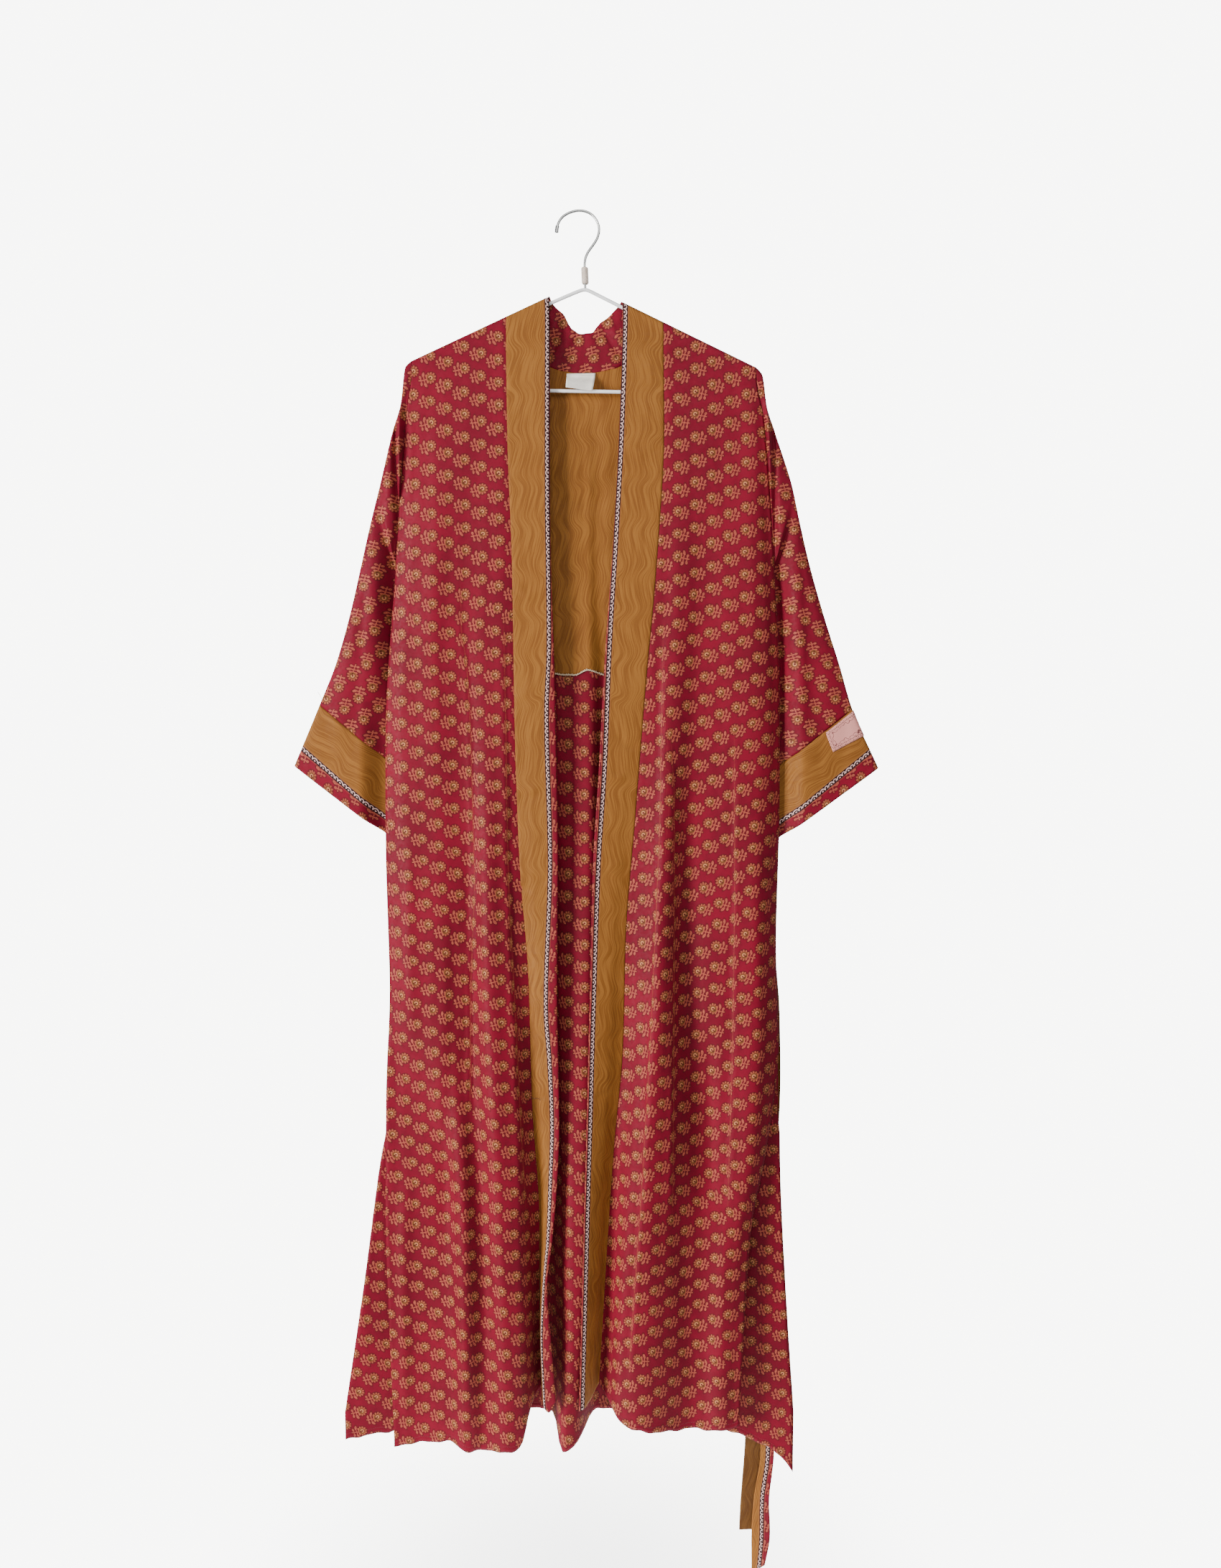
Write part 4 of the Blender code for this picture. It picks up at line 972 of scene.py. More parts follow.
def scroll_line(u, v, colours):
    """Pale scroll on a near-black line: an open curl with a drop in it, then a small hook."""
    y = (v / SCROLL_STEP).fract() * SCROLL_STEP
    bow = ((u - 2.9) * (u - 2.9) + (y - 4.1) * (y - 4.1)).root() - 4.3
    curl = abs(bow).step(0.78, 0.35) * u.step(2.0, 1.5)
    drop = ellipse(u, y, (1.1, 4.4), 90.0, 1.35, 0.8).step(1.05, 0.65)
    hook = ((u + 0.05) * (u + 0.05) * 1.9 + (y - 10.4) * (y - 10.4)).root() - 2.0
    hook = abs(hook).step(0.72, 0.35) * (u + abs(y - 9.9) * -0.9).step(0.4, -0.2)
    pale = curl.most(drop).most(hook)
    return pale.blend(colours["line"], colours["scroll"])


def cloth_surface(f, colour, u, stitches=True, crepe=0.00012):
    """Crepe weave, hem stitches, tuck edges lightened as worn dye and as painted highlight, and
    soft sheen over a cloth's colour.
    """
    _, foot = f.map("edges")
    crease, strength = f.map("creases")
    point = f.point()
    weave = f.noise(point, 1900.0, 2.0, 0.6)
    ripple = f.noise(point, 260.0, 2.0, 0.5)
    crumple = f.noise(point, 42.0, 2.0, 0.5)
    height = weave * 0.35 + ripple * 0.5 + crumple * 2.6
    # Painted highlight and wear: a lighter line along each tuck's edge, where the fold's edge
    # catches the light
    rubbed_and_lit = abs(crease).step(0.9, 0.3) * strength * ripple.step(0.35, 0.65, 0.25, 1.0)
    colour = (rubbed_and_lit * 0.22).blend(colour, (0.46, 0.12, 0.05))
    if stitches:
        line = abs(foot - STITCH_LINE).step(0.75, 0.35)
        thread = (u / 2.6).fract()
        gap = thread.step(0.15, 0.25) * thread.step(0.95, 0.85)
        height = height - line * (1.2 + gap * 1.2)
        colour = (line * gap * 0.35).blend(colour, (0.20, 0.03, 0.04))
        colour = (foot.step(1.6, 0.6) * 0.5).blend(colour, (0.08, 0.006, 0.010))
    grain = weave.step(0.3, 0.7, 0.88, 1.08).blend((0.0, 0.0, 0.0), (1.0, 1.0, 1.0))
    f.feed("Base Color", f.shade(colour, grain, 0.55))
    f.feed("Roughness", ripple.step(0.3, 0.7, 0.55, 0.70))
    f.rough(height, crepe)


def srgb(*parts):
    """A colour given as it shows on screen, 0 to 255, as the renderer's own values."""
    return tuple(((p / 255.0 + 0.055) / 1.055) ** 2.4 if p > 10 else p / 3294.6 for p in parts)


def scaled(colour, amount):
    return tuple(amount * part for part in colour)


def size(name, told, default, low):
    return FloatProperty(name=name, description=told, default=default * MM, min=low * MM,
                         unit="LENGTH")


def tint(name, told, *value):
    return FloatVectorProperty(name=name, description=told, default=value, subtype="COLOR")


class KimonoSizes(bpy.types.PropertyGroup):
    """Sizes of the cloth that a user would change."""

    cell: size("Cell", "Width of the mesh's cells on the cloth", 3.2, 1.5)
    cloth: size("Cloth", "Thickness of the cloth", 0.6, 0.2)
    band_cloth: size("Band cloth", "Thickness of the doubled bands and cuffs", 1.1, 0.2)
    hem: size("Hem", "Depth of the turned hem", 7.0, 2.0)
    seam_dip: size("Seam dip", "How deep the cloth turns in at a seam", 0.9, 0.0)
    folds: FloatProperty(name="Folds", description="Strength of the fine folds", default=1.0,
                         min=0.0, max=2.0, subtype="FACTOR")


class KimonoColours(bpy.types.PropertyGroup):
    """Colours of the prints and the hanger."""

    red: tint("Red", "Red ground", 0.198, 0.0031, 0.0175)
    red_deep: tint("Deep red", "Red ground where the dye is darker", 0.145, 0.0029, 0.0135)
    outline: tint("Outline", "Dark edge of the flowers", 0.070, 0.0060, 0.0068)
    motif: tint("Flowers", "Flower print", 0.430, 0.090, 0.056)
    petal: tint("Petals", "Petals round the flower's disc", 0.400, 0.104, 0.048)
    eye: tint("Eye", "Olive disc of the flower", 0.150, 0.0520, 0.0150)
    cream: tint("Cream", "Pale heart of the flower", 0.500, 0.185, 0.085)
    ochre: tint("Ochre", "Lighter stripe of the wave print", 0.275, 0.1080, 0.0200)
    ochre_deep: tint("Deep ochre", "Darker stripe of the wave print", 0.188, 0.0660, 0.0110)
    line: tint("Line", "Dark line under the scroll", 0.020, 0.0050, 0.0070)
    scroll: tint("Scroll", "Running scroll", 0.680, 0.430, 0.390)
    pink: tint("Patch", "Pale patch on the cuff", 0.700, 0.290, 0.250)
    label: tint("Label", "Blank neck label", 0.900, 0.840, 0.740)
    white: tint("White", "Hanger's rods", 0.950, 0.945, 0.930)


def own_values(group):
    """The values of a group of properties by their names."""
    names = [name for name in group.bl_rna.properties.keys() if name not in ("rna_type", "name")]
    return {name: getattr(group, name) for name in names}


class Sizes:
    """The sizes in millimetres, as the shape functions take them."""

    def __init__(self):
        values = own_values(bpy.context.scene.kimono_sizes)
        self.folds = values.pop("folds")
        for name, value in values.items():
            setattr(self, name, value / MM)


def finish(name, build, roughness=0.62, sheen=0.03, **surface):
    """A finish, made once and used by every piece that asks for it."""
    if name in bpy.data.materials:
        return bpy.data.materials[name]
    f = Finish(name, Roughness=roughness, Sheen_Weight=sheen, Sheen_Roughness=0.45,
               Specular_IOR_Level=0.12, **surface)
    group = own_values(bpy.context.scene.kimono_colours)
    build(f, {name: tuple(value) for name, value in group.items()})
    return f.material


def red_finish(f, palette):
    u, v = f.map("print")
    cloth_surface(f, red_cloth(f, u, v, palette), u)


def border_finish(f, palette):
    u, v = f.map("print")
    red = red_cloth(f, MARGIN_START - u, v, palette)
    base = u.step(-0.3, 0.3).blend(wave_cloth(f, u, v, palette), red)
    selvage = abs(abs(u) - 3.4).step(0.9, 0.3) * 0.2
    base = selvage.blend(base, (0.42, 0.13, 0.06))
    base = abs(u).step(3.1, 2.6).blend(base, scroll_line(u, v, palette))
    cloth_surface(f, base, u, stitches=False)


def shaded_reverse_finish(f, palette):
    """The border cloth's reverse with its ochre darkened: partly the duller reverse face, partly
    painted shade of the belt's strand that hangs behind.
    """
    u, v = f.map("print")
    # Ochre at 0.42: the duller reverse and painted shade together
    dull_and_shaded = {name: scaled(palette[name], 0.42) for name in ("ochre", "ochre_deep")}
    cloth_surface(f, wave_cloth(f, u, v, dull_and_shaded), u, stitches=False)


def label_finish(f, palette):
    """Plain, a little uneven in colour."""
    u, _ = f.map("print")
    cloud = f.noise(f.point(), 120.0, 3.0).step(0.3, 0.7, 0.9, 1.05)
    base = cloud.step(0.9, 1.05).blend(scaled(palette["label"], 0.86), palette["label"])
    cloth_surface(f, base, u, stitches=False, crepe=0.00005)


def patch_finish(f, palette):
    """Pink cloth with a plain wavering line and small marks round its edge."""
    u, v = f.map("print")
    edge, _ = f.map("edges")
    away = edge + (u * 0.9).sin() * 0.8 + (v * 1.1 + 1.0).sin() * 0.7
    line = abs(away - 6.5).step(0.45, 0.2).most(abs(edge - 3.4).step(0.3, 0.12))
    marks = f.noise(f.vector(u * 0.8, v * 0.8), 1.0, 0.0).step(0.62, 0.66) * edge.step(6.0, 4.6)
    base = (line.most(marks) * 0.85).blend(palette["pink"], (0.060, 0.012, 0.018))
    cloth_surface(f, base, u, stitches=False)


def thread_finish(name, shown):
    """A twisted thread of one colour."""
    def build(f, palette):
        twist = f.noise(f.point(), 2600.0, 2.0)
        f.feed("Base Color", twist.step(0.3, 0.7).blend(scaled(srgb(*shown), 0.7), srgb(*shown)))
        f.rough(twist, 0.0002)
    return finish(name, build, 0.75, 0.2)


def rod_finish(f, palette):
    drift = f.noise(f.point(), 60.0, 2.0)
    base = drift.step(0.35, 0.7).blend(scaled(palette["white"], 0.9), palette["white"])
    f.feed("Base Color", base)
    f.feed("Roughness", drift.step(0.3, 0.7, 0.30, 0.42))
    f.rough(f.noise(f.point(), 900.0, 1.0), 0.00002)


def wire_finish(f, palette):
    point = f.point()
    brushed = f.noise(point, 160.0, 1.0, 0.5)
    f.feed("Base Color", brushed.step(0.3, 0.7).blend((0.46, 0.46, 0.45), (0.54, 0.54, 0.52)))
    f.feed("Roughness", brushed.step(0.3, 0.7, 0.22, 0.36))
    f.rough(f.noise(point, 900.0, 1.0), 0.00001)


def collar_finish(f, palette):
    speck = f.noise(f.point(), 500.0, 2.0)
    f.feed("Base Color", speck.step(0.3, 0.7).blend(srgb(196, 178, 162), srgb(224, 208, 194)))
    f.feed("Roughness", speck.step(0.3, 0.7, 0.42, 0.55))
    f.rough(speck, 0.00003)


# Material slot: the finish's name, how it is built, roughness, sheen and what else it has
LOOKS = {
    "flowered_cloth": ("flowered_finish", red_finish, 0.62, 0.03,
                       {"Sheen_Tint": (1.0, 0.55, 0.62, 1.0)}),
    "border_cloth": ("border_finish", border_finish, 0.62, 0.03,
                     {"Sheen_Tint": (1.0, 0.85, 0.6, 1.0)}),
    "shaded_reverse_cloth": ("border_reverse_finish", shaded_reverse_finish, 0.62, 0.03, {}),
    "label_cloth": ("label_finish", label_finish, 0.8, 0.1, {}),
    "pink_cloth": ("patch_finish", patch_finish, 0.75, 0.05, {}),
    "white_rod": ("rod_finish", rod_finish, 0.35, 0.0, {}),
    "hook_wire": ("wire_finish", wire_finish, 0.28, 0.0, {"Metallic": 1.0}),
    "collar": ("collar_finish", collar_finish, 0.5, 0.0, {}),
}


def look(slot):
    name, build, roughness, sheen, surface = LOOKS[slot]
    return finish(name, build, roughness, sheen, **surface)


def stations(run, cell, first=()):
    """Shares of a length: a few set places in millimetres, then even steps."""
    start = first[-1] if first else 0.0
    count = max(3, int(round((run - start) / cell)))
    rest = [mix(start, run, k / count) for k in range(1 if first else 0, count + 1)]
    return np.array(list(first) + rest) / run


def crossed(ways, drops):
    """A grid of two rows of values."""
    return np.meshgrid(ways, drops, indexing="ij")


def spread(x, y):
    """Extra cloth that the depth takes up, added along the first axis."""
    dx, dy = np.diff(x, axis=0), np.diff(y, axis=0)
    extra = np.hypot(dx, dy) - np.abs(dx)
    return np.concatenate((np.zeros((1, x.shape[1])), np.cumsum(extra, axis=0)))


def turned(x, z, degrees):
    """Map coordinates: along a motif that points this way, and across it."""
    c, s = math.cos(math.radians(degrees)), math.sin(math.radians(degrees))
    return x * c + z * s, z * c - x * s


def layer(ways):
    """-1 on a sleeve's front layer and 1 on its back one."""
    return np.where(ways < 0.0, -1.0, 1.0)


def placed(name, data, place=(0.0, 0.0, 0.0), turn=(0.0, 0.0, 0.0)):
    """A new object in the scene."""
    made = bpy.data.objects.new(name, data)
    bpy.context.scene.collection.objects.link(made)
    made.location, made.rotation_euler = place, turn
    return made


def settle(mesh, name, slot, node=None, material=None):
    """Puts a finished piece on the one body, with its slot and the solid that it stands for."""
    mesh.materials.append(material or look(slot))
    mesh.polygons.foreach_set("use_smooth", [True] * len(mesh.polygons))
    piece = placed(name, mesh)
    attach(piece, "root")
    if node:
        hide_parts(node)
    return piece


def cloth(name, node, slot, xyz, print_at, edge_at, outwards, thickness, crease_at=(FAR, 0.0)):
    """A sheet of cloth: a bmesh grid laid on the points, its maps, and a wall put on inwards."""
    layers = [np.stack(np.broadcast_arrays(*parts, xyz[0])[:-1], axis=-1)[::outwards] * MM
              for parts in (xyz, print_at, edge_at, crease_at)]
    rows, columns = xyz[0].shape
    bm = bmesh.new()
    bmesh.ops.create_grid(bm, x_segments=rows - 1, y_segments=columns - 1, size=0.5)
    mesh = bpy.data.meshes.new(name)
    bm.to_mesh(mesh)
    bm.free()
    flat = np.zeros(len(mesh.vertices) * 3)
    mesh.vertices.foreach_get("co", flat)
    share = flat.reshape(-1, 3) + 0.5
    i = np.rint(share[:, 0] * (rows - 1)).astype(int)
    j = np.rint(share[:, 1] * (columns - 1)).astype(int)
    mesh.vertices.foreach_set("co", layers[0][i, j].ravel())
    corners = np.zeros(len(mesh.loops), dtype=np.int32)
    mesh.loops.foreach_get("vertex_index", corners)
    for layer, values in zip(("print", "edges", "creases"), layers[1:]):
        made = mesh.uv_layers.new(name=layer)
        made.data.foreach_set("uv", values[i, j][corners].ravel())
    mesh.update()
    piece = settle(mesh, name, slot, node)
    wall = piece.modifiers.new("wall", "SOLIDIFY")
    wall.thickness = thickness * MM
    wall.offset = -1.0
    return piece


def strands(name, slot, runs, radius, node=None, material=None, closed=False, sides=1,
            resolution=2):
    """Round strands through lists of points in millimetres, made a mesh."""
    data = bpy.data.curves.new(name, "CURVE")
    data.dimensions = "3D"
    data.bevel_depth = radius * MM
    data.bevel_resolution = sides
    data.resolution_u = resolution
    data.use_fill_caps = True
    for run in runs:
        line = data.splines.new("NURBS")
        line.points.add(len(run) - 1)
        for point, place in zip(line.points, run):
            point.co = (*(part * MM for part in place), 1.0)
        line.order_u = 4
        line.use_endpoint_u = not closed
        line.use_cyclic_u = closed
    shape = placed(name + "_path", data)
    graph = bpy.context.evaluated_depsgraph_get()
    mesh = bpy.data.meshes.new_from_object(shape.evaluated_get(graph))
    bpy.data.objects.remove(shape)
    bpy.data.curves.remove(data)
    mesh.materials.clear()
    return settle(mesh, name, slot, node, material)


class KIMONO_OT_fronts(bpy.types.Operator):
    """Both front panels, with their hems, side slits and seam allowances"""

    bl_idname = "kimono.fronts"
    bl_label = "Front panels"

    def execute(self, context):
        sizes = Sizes()
        share = np.concatenate((stations(165.0, sizes.cell), (2.2, 6.0)))
        ways, drops = crossed(share, stations(1380.0, sizes.cell * 1.2, FALLS))
        for side, panel, hem, folds, lean in (
                ("right", FRONT_RIGHT, HEM_FRONT_RIGHT, FOLDS_FRONT_RIGHT, 1),
                ("left", FRONT_LEFT, HEM_FRONT_LEFT, FOLDS_FRONT_LEFT, -1)):
            x, y, z, to_side, to_hem = front_point(panel, hem, folds, ways, drops, sizes)
            extra = spread(x, y)
            flat = x - lean * (extra[-1] - extra) + folds.hidden(x, z)
            piece = cloth("front_panel_" + side, "front_" + side, "flowered_cloth", (x, y, z),
                          (lean * flat, z), (to_side, to_hem), -lean, sizes.cloth,
                          folds.rubbed_and_lit(x, z))
        return {"FINISHED"}


class KIMONO_OT_back(bpy.types.Operator):
    """The back panel with its centre pleat, the yoke inside it and the yoke's overlocked edge"""

    bl_idname = "kimono.back"
    bl_label = "Back and yoke"

    def execute(self, context):
        sizes = Sizes()
        tops = mix(*BACK_TOP, stations(399.5, sizes.cell))
        ways, drops = crossed(tops, stations(1380.0, sizes.cell * 1.3, FALLS))
        x, y, z, to_side, to_hem = back_point(ways, drops, sizes)
        extra = spread(x, y)
        flat = x + extra - extra[len(tops) // 2]
        piece = cloth("back_panel", "back", "flowered_cloth", (x, y, z), (flat, z),
                      (to_side, to_hem), 1, sizes.cloth)
        self.yoke(sizes)
        return {"FINISHED"}

    def yoke(self, sizes):
        """The yoke follows the back's inner face down to its overlocked edge."""
        tops = np.linspace(*YOKE_SIDES, max(20, int(222.0 / sizes.cell)))
        x, drops = crossed(tops, np.linspace(0.0, 1.0, max(30, int(350.0 / sizes.cell))))
        top = np.minimum(neck_z(x) + 1.2, crest(x) - 2.0)
        foot = YOKE_EDGE + YOKE_PEAK * np.exp(-((x - 9.8) / 10.0) ** 2)
        foot = foot + 0.8 * np.sin(x / 7.0) + 0.5 * np.sin(x / 2.9)
        z = mix(top, foot, drops)
        y = back_depth(x, z) + back_folds(x, z, sizes) - 1.2
        y = y - bump_over(x - 11.0, 5.0, 0.9) * ease((-250.0 - z) / 60.0)
        piece = cloth("back_yoke_cloth", "back_yoke", "border_cloth", (x, y, z),
                      (x + WAVES_ONLY, z), (FAR, z - foot + FAR), 1, 0.5)
        k = np.arange(int(222.0 / 1.1))
        x = YOKE_SIDES[0] + 1.1 * k
        edge = np.interp(x, tops, foot[:, -1])
        z = edge + np.where(k % 2, 2.6, -2.6) + 0.7 * np.sin(k * 1.9)
        y = back_depth(x, z) + back_folds(x, z, sizes) - 2.3 + 0.4 * np.sin(k * 2.3)
        zigzag, line = np.stack((x, y, z), axis=-1), np.stack((x, y - 0.1, edge - 0.5), axis=-1)
        overlock = strands("yoke_overlock", "border_cloth", (zigzag, line[::4]), 0.55,
                           material=thread_finish("overlock_thread", (214, 190, 160)))


class KIMONO_OT_bands(bpy.types.Operator):
    """The front bands, the neckband behind the neck and the blank neck label"""

    bl_idname = "kimono.bands"
    bl_label = "Bands and neckband"

    def execute(self, context):
        sizes = Sizes()
        ways, drops = crossed(stations(52.0, sizes.cell * 0.55),
                              stations(1340.0, sizes.cell * 1.1, FALLS))
        for side, panel, band, hem, folds, lean in (
                ("right", FRONT_RIGHT, BAND_RIGHT, BAND_HEM_RIGHT, FOLDS_BAND_RIGHT, 1),
                ("left", FRONT_LEFT, BAND_LEFT, BAND_HEM_LEFT, FOLDS_BAND_LEFT, -1)):
            x, y, z, to_free, to_hem = band_point(panel, band, hem, folds, ways, drops, sizes)
            run = lean * x + spread(x, y)
            scroll = lean * band.at("scroll_x", z).mean(axis=0)
            at_scroll = [np.interp(*parts) for parts in zip(scroll, lean * x.T, run.T)]
            piece = cloth("front_band_" + side, "band_" + side, "border_cloth", (x, y, z),
                          (run - at_scroll, z), (to_free, to_hem), -lean, sizes.band_cloth)
        self.neckband(sizes)
        self.label()
        return {"FINISHED"}

    def neckband(self, sizes):
        seam = np.linspace(*NECK_ENDS, max(30, int(240.0 / sizes.cell)))
        ways, rises = crossed(seam, np.linspace(0.0, 1.0, 16))
        x, y, z = neckband_point(ways, rises)
        fall = crest(x) - z
        soft = 0.5 * np.sin(ways / 9.0 + 3.0 * rises) + 0.3 * np.sin(ways / 4.1)
        soft = (FOLDS_NECKBAND.at(x, z) + soft) * ease((1.0 - rises) / 0.2 + 0.4)
        y = y + soft * ease(fall / 14.0)
        z = z + 0.5 * np.sin(ways / 6.0) * ease((rises - 0.7) / 0.3) * ease(fall / 20.0)
        piece = cloth("back_neckband", "neckband", "flowered_cloth", (x, y, z),
                      turned(x, z, -90.0), (FAR, FAR), -1, sizes.band_cloth)

    def label(self):
        s, down = crossed(np.linspace(0.0, 1.0, 15), np.linspace(0.0, 24.0, 21))
        x, z = (mix(LABEL.at(left, down), LABEL.at(right, down), s)
                for left, right in (("left", "right"), ("z_left", "z_right")))
        y = LABEL.at("y", down) + 0.5 * np.sin(s * 2.6) * ease(down / 10.0)
        piece = cloth("blank_neck_label", "neck_label", "label_cloth", (x, y, z), (x, z),
                      (np.minimum(s, 1.0 - s) * 34.0, down), 1, 0.5)
        stitch = np.array(((0.0, 5.3, 0.0), (0.5, 5.0, 0.4), (0.85, 5.05, 0.0), (0.95, 5.4, -0.2)))
        stitches = [stitch + (1.7 * k - 15.0, 0.0, -181.2 - 0.1 * k) for k in range(19)]
        strands("label_stitches", "label_cloth", stitches, 0.16, resolution=1,
                material=thread_finish("label_thread", (205, 200, 192)))


class KIMONO_OT_sleeves(bpy.types.Operator):
    """Both sleeves, their cuffs and the patch over the left cuff's fold"""

    bl_idname = "kimono.sleeves"
    bl_label = "Sleeves and cuffs"

    def execute(self, context):
        sizes = Sizes()
        even = stations(230.0, sizes.cell)
        half = np.concatenate((NEAR_FOLD, even[even > 0.08]))
        around = np.concatenate((-half[::-1], (0.0,), half))
        for side, outwards, shape in (
                ("right", 1, (SLEEVE_RIGHT, FRONT_RIGHT, FOLDS_SLEEVE_RIGHT)),
                ("left", -1, (SLEEVE_LEFT, FRONT_LEFT, FOLDS_SLEEVE_LEFT))):
            self.sleeve(side, outwards, shape, around, sizes)
            self.cuff(side, outwards, shape, around, sizes)
        self.patch(sizes)
        return {"FINISHED"}

    def sleeve(self, side, outwards, shape, around, sizes):
        even = np.linspace(0.03, 1.0 - SEAM_SHARE, max(40, int(440.0 / sizes.cell)))
        down = np.concatenate(((0.0, 0.004, 0.009, 0.015, 0.022), even))
        ways, drops = crossed(around, down)
        x, y, z, to_under, width = sleeve_point(*shape, ways, drops, sizes)
        y = y - layer(ways) * self.seam_dip(ways, drops, width)
        piece = cloth("sleeve_cloth_" + side, "sleeve_" + side, "flowered_cloth", (x, y, z),
                      self.unrolled(shape[0], x, z, ways, drops), (to_under + 20.0, FAR),
                      outwards, sizes.cloth)

    def cuff(self, side, outwards, shape, around, sizes):
        even = np.linspace(1.0 + SEAM_SHARE, OPEN_END, max(14, int(75.0 / (sizes.cell * 0.7))))
        ways, drops = crossed(around, even)
        x, y, z, to_under, width = sleeve_point(*shape, ways, drops, sizes)
        to_fold, end = np.abs(ways) * width, (OPEN_END - drops) * CUFF_SCALE
        swell = 0.5 * (1.0 - ease((end - 3.0) / 2.0)) * ease(to_fold / 6.0)
        y = y + layer(ways) * (swell - self.seam_dip(ways, drops, width))
        across = (drops - CUFF_SCROLL[0] - CUFF_SCROLL[1] * np.abs(ways)) * CUFF_SCALE
        piece = cloth("cuff_cloth_" + side, "cuff_" + side, "border_cloth", (x, y, z),
                      (across, layer(ways) * to_fold), (to_under + 20.0, end), outwards,
                      sizes.band_cloth)

    def seam_dip(self, ways, drops, width):
        """How far both the sleeve and the cuff turn in at the seam between them."""
        return bump_over((drops - 1.0) * SLEEVE_RUN, 2.0, 0.7) * ease(np.abs(ways) * width / 6.0)

    def unrolled(self, table, x, z, ways, drops):
        """The cloth laid flat behind its fold, with its flowers pointing down the sleeve."""
        top_x, top_z = table.at("top_x", (0.25, 1.0)), table.at("top_z", (0.25, 1.0))
        out = np.sign(top_x[0])
        lie = math.degrees(math.atan2(top_z[1] - top_z[0], out * (top_x[1] - top_x[0])))
        along, across = turned(out * x, z, lie)
        _, fold = turned(out * table.at("top_x", drops), table.at("top_z", drops), lie)
        across = np.where(ways < 0.0, across, 2.0 * fold - across)
        u, v = turned(along, across, SLEEVE_PRINT - lie)
        return u, -v

    def patch(self, sizes):
        """The patch lies on the cuff's cloth, from the front over the fold."""
        first, last = PATCH_ENDS
        near = (0.005, 0.009, 0.014)
        around = np.concatenate((np.linspace(first, -0.02, 26), [-a for a in near[::-1]],
                                 (-0.002, 0.0, 0.002), near, (0.02, 0.03, 0.04, last)))
        ways, shares = crossed(around, np.linspace(0.0, 1.0, 14))
        end = mix(*PATCH_ROWS[1:], np.clip(1.0 - ways / first, 0.0, 1.0))
        x, y, z, _, _ = sleeve_point(SLEEVE_LEFT, FRONT_LEFT, FOLDS_SLEEVE_LEFT, ways,
                                     mix(PATCH_ROWS[0], end, shares), sizes)
        points = np.stack((x, y, z), axis=-1)
        n = np.cross(np.gradient(points, axis=0), np.gradient(points, axis=1))
        points = points - 1.15 * n / np.linalg.norm(n, axis=2, keepdims=True)
        edge = np.minimum(np.minimum(shares, 1.0 - shares) * 28.0,
                          np.minimum(ways - first, last - ways) * 230.0)
        piece = cloth("cuff_patch_cloth", "cuff_patch", "pink_cloth", np.moveaxis(points, -1, 0),
                      turned(x, z, -35.0), (edge, edge), -1, 0.6)


class KIMONO_OT_belt(bpy.types.Operator):
    """The belt, hung by its middle on the carrier at the left side seam"""

    bl_idname = "kimono.belt"
    bl_label = "Belt and carrier"

    def execute(self, context):
        step = Sizes().cell * 1.6
        s, along = crossed(np.linspace(0.0, 1.0, 13), np.concatenate((
            np.arange(0.0, 868.0, step), np.arange(868.0, 892.0, 0.9),
            np.arange(892.0, BELT_END, step), (BELT_END,))))
        x, y, z, width = (BELT.at(name, along) for name in ("x", "y", "z", "width"))
        z = z + 10.0 * s * np.maximum(0.0, 1.0 - along / 60.0)
        free = ease((840.0 - along) / 60.0) + ease((along - 915.0) / 60.0)
        y = y + free * (0.8 * np.sin(z / 37.0 + 2.0 * s) + 0.5 * np.sin(z / 13.0))
        x = x + (s - 0.5) * width + free * 0.4 * np.sin(z / 19.0)
        across = np.where(along > BELT_MIDDLE, (s - 0.5) * width + REVERSE_WAVES,
                          (s - 0.54) * width)
        edge, end = np.minimum(s, 1.0 - s) * width, np.minimum(along, BELT_END - along)
        piece = cloth("belt_strip", "belt", "border_cloth", (x, y, z), (across, z), (edge, end),
                      -1, 1.0)
        # The strand that hangs behind gets the darkened reverse: partly its reverse face, partly
        # painted shade
        piece.data.materials.append(look("shaded_reverse_cloth"))
        for polygon in piece.data.polygons:
            between = np.interp(polygon.center.z / MM, *BELT_BETWEEN)
            polygon.material_index = int(polygon.center.y > between * MM)
        self.carrier()
        return {"FINISHED"}

    def carrier(self):
        first, last = (float(back_depth(x, CARRIER_Z)) + SEAM_GAP for x in (235.4, 210.0))
        path = np.array(((236.6, first), (237.2, 5.0), (237.4, 9.0), (236.4, 14.2), (234.5, 15.2),
                         (229.0, 15.2), (224.0, 15.2), (219.0, 15.2), (213.5, 15.0),
                         (211.5, 14.2), (210.6, 12.6), (210.4, last)))
        k, rise = crossed(np.arange(len(path)), np.linspace(-1.2, 1.2, 4))
        x, y, z = path[k, 0], path[k, 1], CARRIER_Z + rise
        cloth("belt_carrier", "belt_loop", "flowered_cloth", (x, y, z), (x, z), (FAR, FAR), 1, 0.8)


class KIMONO_OT_threads(bpy.types.Operator):
    """Loose threads at the seams and the bar tacks at the tops of the side slits"""

    bl_idname = "kimono.threads"
    bl_label = "Threads and bar tacks"

    def execute(self, context):
        tacks = [[(x + 1.0 + 0.5 * math.sin(k * 2.1) + (1.1 if k % 2 else -1.1),
                   -5.7 + 0.1 * (k % 2), z + 4.0 - 0.55 * k) for k in range(15)]
                 for x, z in ((-240.2, -1118.0), (233.0, -1078.0))]
        strands("slit_bar_tacks", "flowered_cloth", tacks, 0.28,
                material=thread_finish("red_thread", (150, 24, 44)))
        strands("loose_threads", "flowered_cloth", LOOSE_THREADS, 0.2, resolution=6,
                material=thread_finish("dark_thread", (60, 20, 24)))
        return {"FINISHED"}


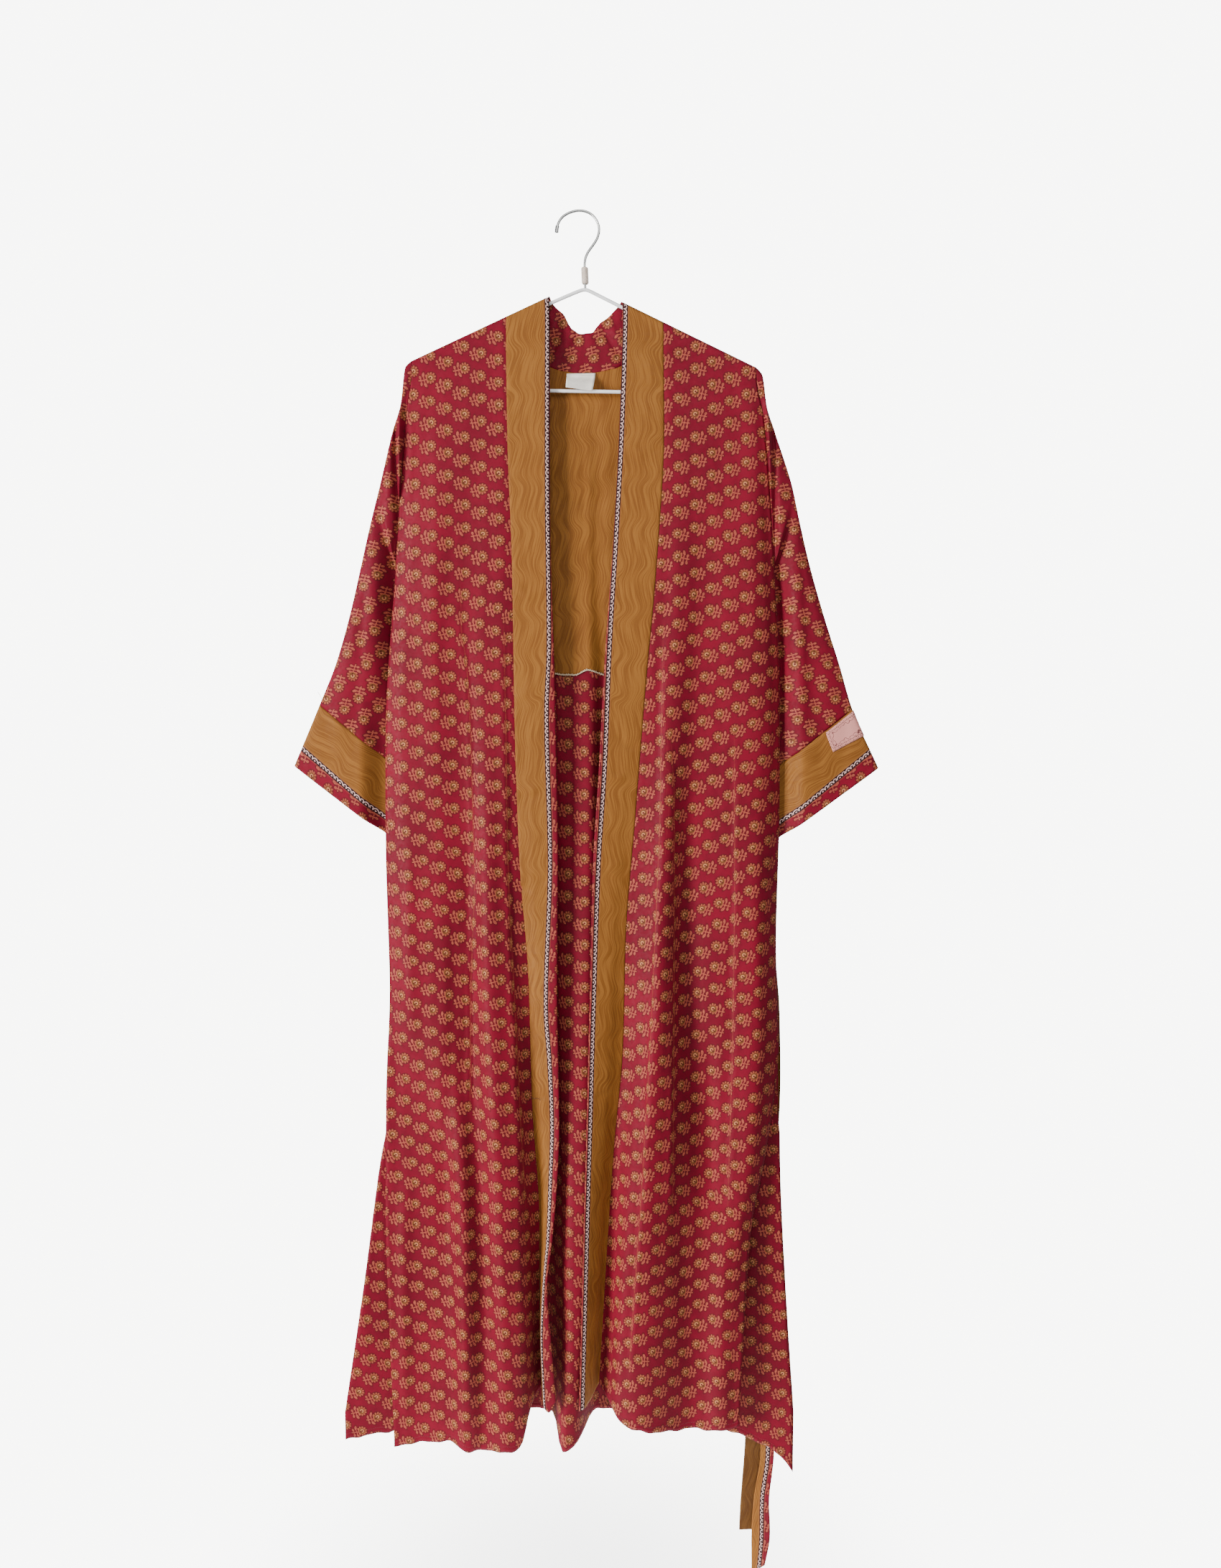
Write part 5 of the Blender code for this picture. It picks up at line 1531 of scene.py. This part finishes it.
class KIMONO_OT_hanger(bpy.types.Operator):
    """The rod frame, its wire hook and the collar at the hook's foot"""

    bl_idname = "kimono.hanger"
    bl_label = "Hanger"

    def execute(self, context):
        for node, slot in (("hanger_frame", "white_rod"), ("hanger_hook", "hook_wire"),
                           ("hanger_collar", "collar")):
            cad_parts[node].material_slots[0].material = look(slot)
        for name, slot, node, radius, closed, points in HANGER:
            strands(name, slot, [[(x, 0.0, z) for x, z in points]], radius, node, closed=closed,
                    sides=5, resolution=6)
        return {"FINISHED"}


class KIMONO_OT_stage(bpy.types.Operator):
    """The pale floor, soft studio light and the camera at the photograph's place"""

    bl_idname = "kimono.stage"
    bl_label = "Stage"

    def execute(self, context):
        bm = bmesh.new()
        bmesh.ops.create_grid(bm, x_segments=1, y_segments=1, size=14.0)
        bmesh.ops.translate(bm, verts=bm.verts, vec=(0.0, 0.0, FLOOR))
        mesh = bpy.data.meshes.new("stage_floor")
        bm.to_mesh(mesh)
        bm.free()
        floor = placed("stage_floor", mesh)
        f = Finish("floor_finish", Roughness=0.9, Specular_IOR_Level=0.1,
                   Emission_Color=(1.0, 1.0, 0.98, 1.0), Emission_Strength=3.4)
        f.feed("Base Color", f.noise(f.point(), 0.8, 1.0).step(0.3, 0.7).blend(
            (0.87, 0.87, 0.88), (0.90, 0.90, 0.90)))
        x, y = f.parts(f.point())
        f.feed("Alpha", (x * x + y * y).root().step(*FLOOR_FADE, 1.0, 0.0))
        mesh.materials.append(f.material)
        self.studio(context)
        for name, place, target, size, power in LAMPS:
            lamp = bpy.data.lights.new(name, "AREA")
            lamp.shape = "RECTANGLE"
            lamp.size, lamp.size_y = size
            lamp.energy = power
            turn = (Vector(target) - Vector(place)).to_track_quat("-Z", "Y").to_euler()
            placed(name, lamp, place, turn)
        lens = bpy.data.cameras.new("photo_camera")
        lens.lens, lens.sensor_width = 28.05, 36.0
        turn = (math.radians(90.0 - 4.92), 0.0, 0.0)
        context.scene.camera = placed("photo_camera", lens, (0.0356, -1.460, -0.5363), turn)
        return {"FINISHED"}

    def studio(self, context):
        """A white backdrop all round, and softer light from it than it shows."""
        world = bpy.data.worlds.new("studio")
        context.scene.world = world
        world.use_nodes = True
        nodes, links = world.node_tree.nodes, world.node_tree.links
        light, backdrop = nodes["Background"], nodes.new("ShaderNodeBackground")
        for background, colour, strength in ((light, (0.96, 0.98, 1.0, 1.0), 0.42),
                                             (backdrop, (1.0, 1.0, 0.98, 1.0), 8.0)):
            background.inputs["Color"].default_value = colour
            background.inputs["Strength"].default_value = strength
        path = nodes.new("ShaderNodeLightPath")
        both = nodes.new("ShaderNodeMixShader")
        links.new(path.outputs["Is Camera Ray"], both.inputs[0])
        links.new(light.outputs[0], both.inputs[1])
        links.new(backdrop.outputs[0], both.inputs[2])
        links.new(both.outputs[0], nodes["World Output"].inputs["Surface"])


OPERATORS = (KIMONO_OT_fronts, KIMONO_OT_back, KIMONO_OT_bands, KIMONO_OT_sleeves, KIMONO_OT_belt,
             KIMONO_OT_threads, KIMONO_OT_hanger, KIMONO_OT_stage)


class KIMONO_PT_pieces(bpy.types.Panel):
    """Pieces, sizes and colours of the kimono"""

    bl_idname = "KIMONO_PT_pieces"
    bl_label = "Kimono"
    bl_space_type = "VIEW_3D"
    bl_region_type = "UI"
    bl_category = "Kimono"

    def draw(self, context):
        column = self.layout.column()
        for operator in OPERATORS:
            column.operator(operator.bl_idname)
        for group in (context.scene.kimono_sizes, context.scene.kimono_colours):
            for name in own_values(group):
                column.prop(group, name)


CLASSES = (KimonoSizes, KimonoColours) + OPERATORS + (KIMONO_PT_pieces,)


def register():
    for made in CLASSES:
        bpy.utils.register_class(made)
    bpy.types.Scene.kimono_sizes = PointerProperty(type=KimonoSizes)
    bpy.types.Scene.kimono_colours = PointerProperty(type=KimonoColours)


def unregister():
    del bpy.types.Scene.kimono_colours
    del bpy.types.Scene.kimono_sizes
    for made in reversed(CLASSES):
        bpy.utils.unregister_class(made)


def main():
    register()
    bpy.ops.kimono.stage()
    bpy.ops.kimono.fronts()
    bpy.ops.kimono.back()
    bpy.ops.kimono.bands()
    bpy.ops.kimono.sleeves()
    bpy.ops.kimono.belt()
    bpy.ops.kimono.threads()
    bpy.ops.kimono.hanger()


if __name__ == "__main__":
    main()
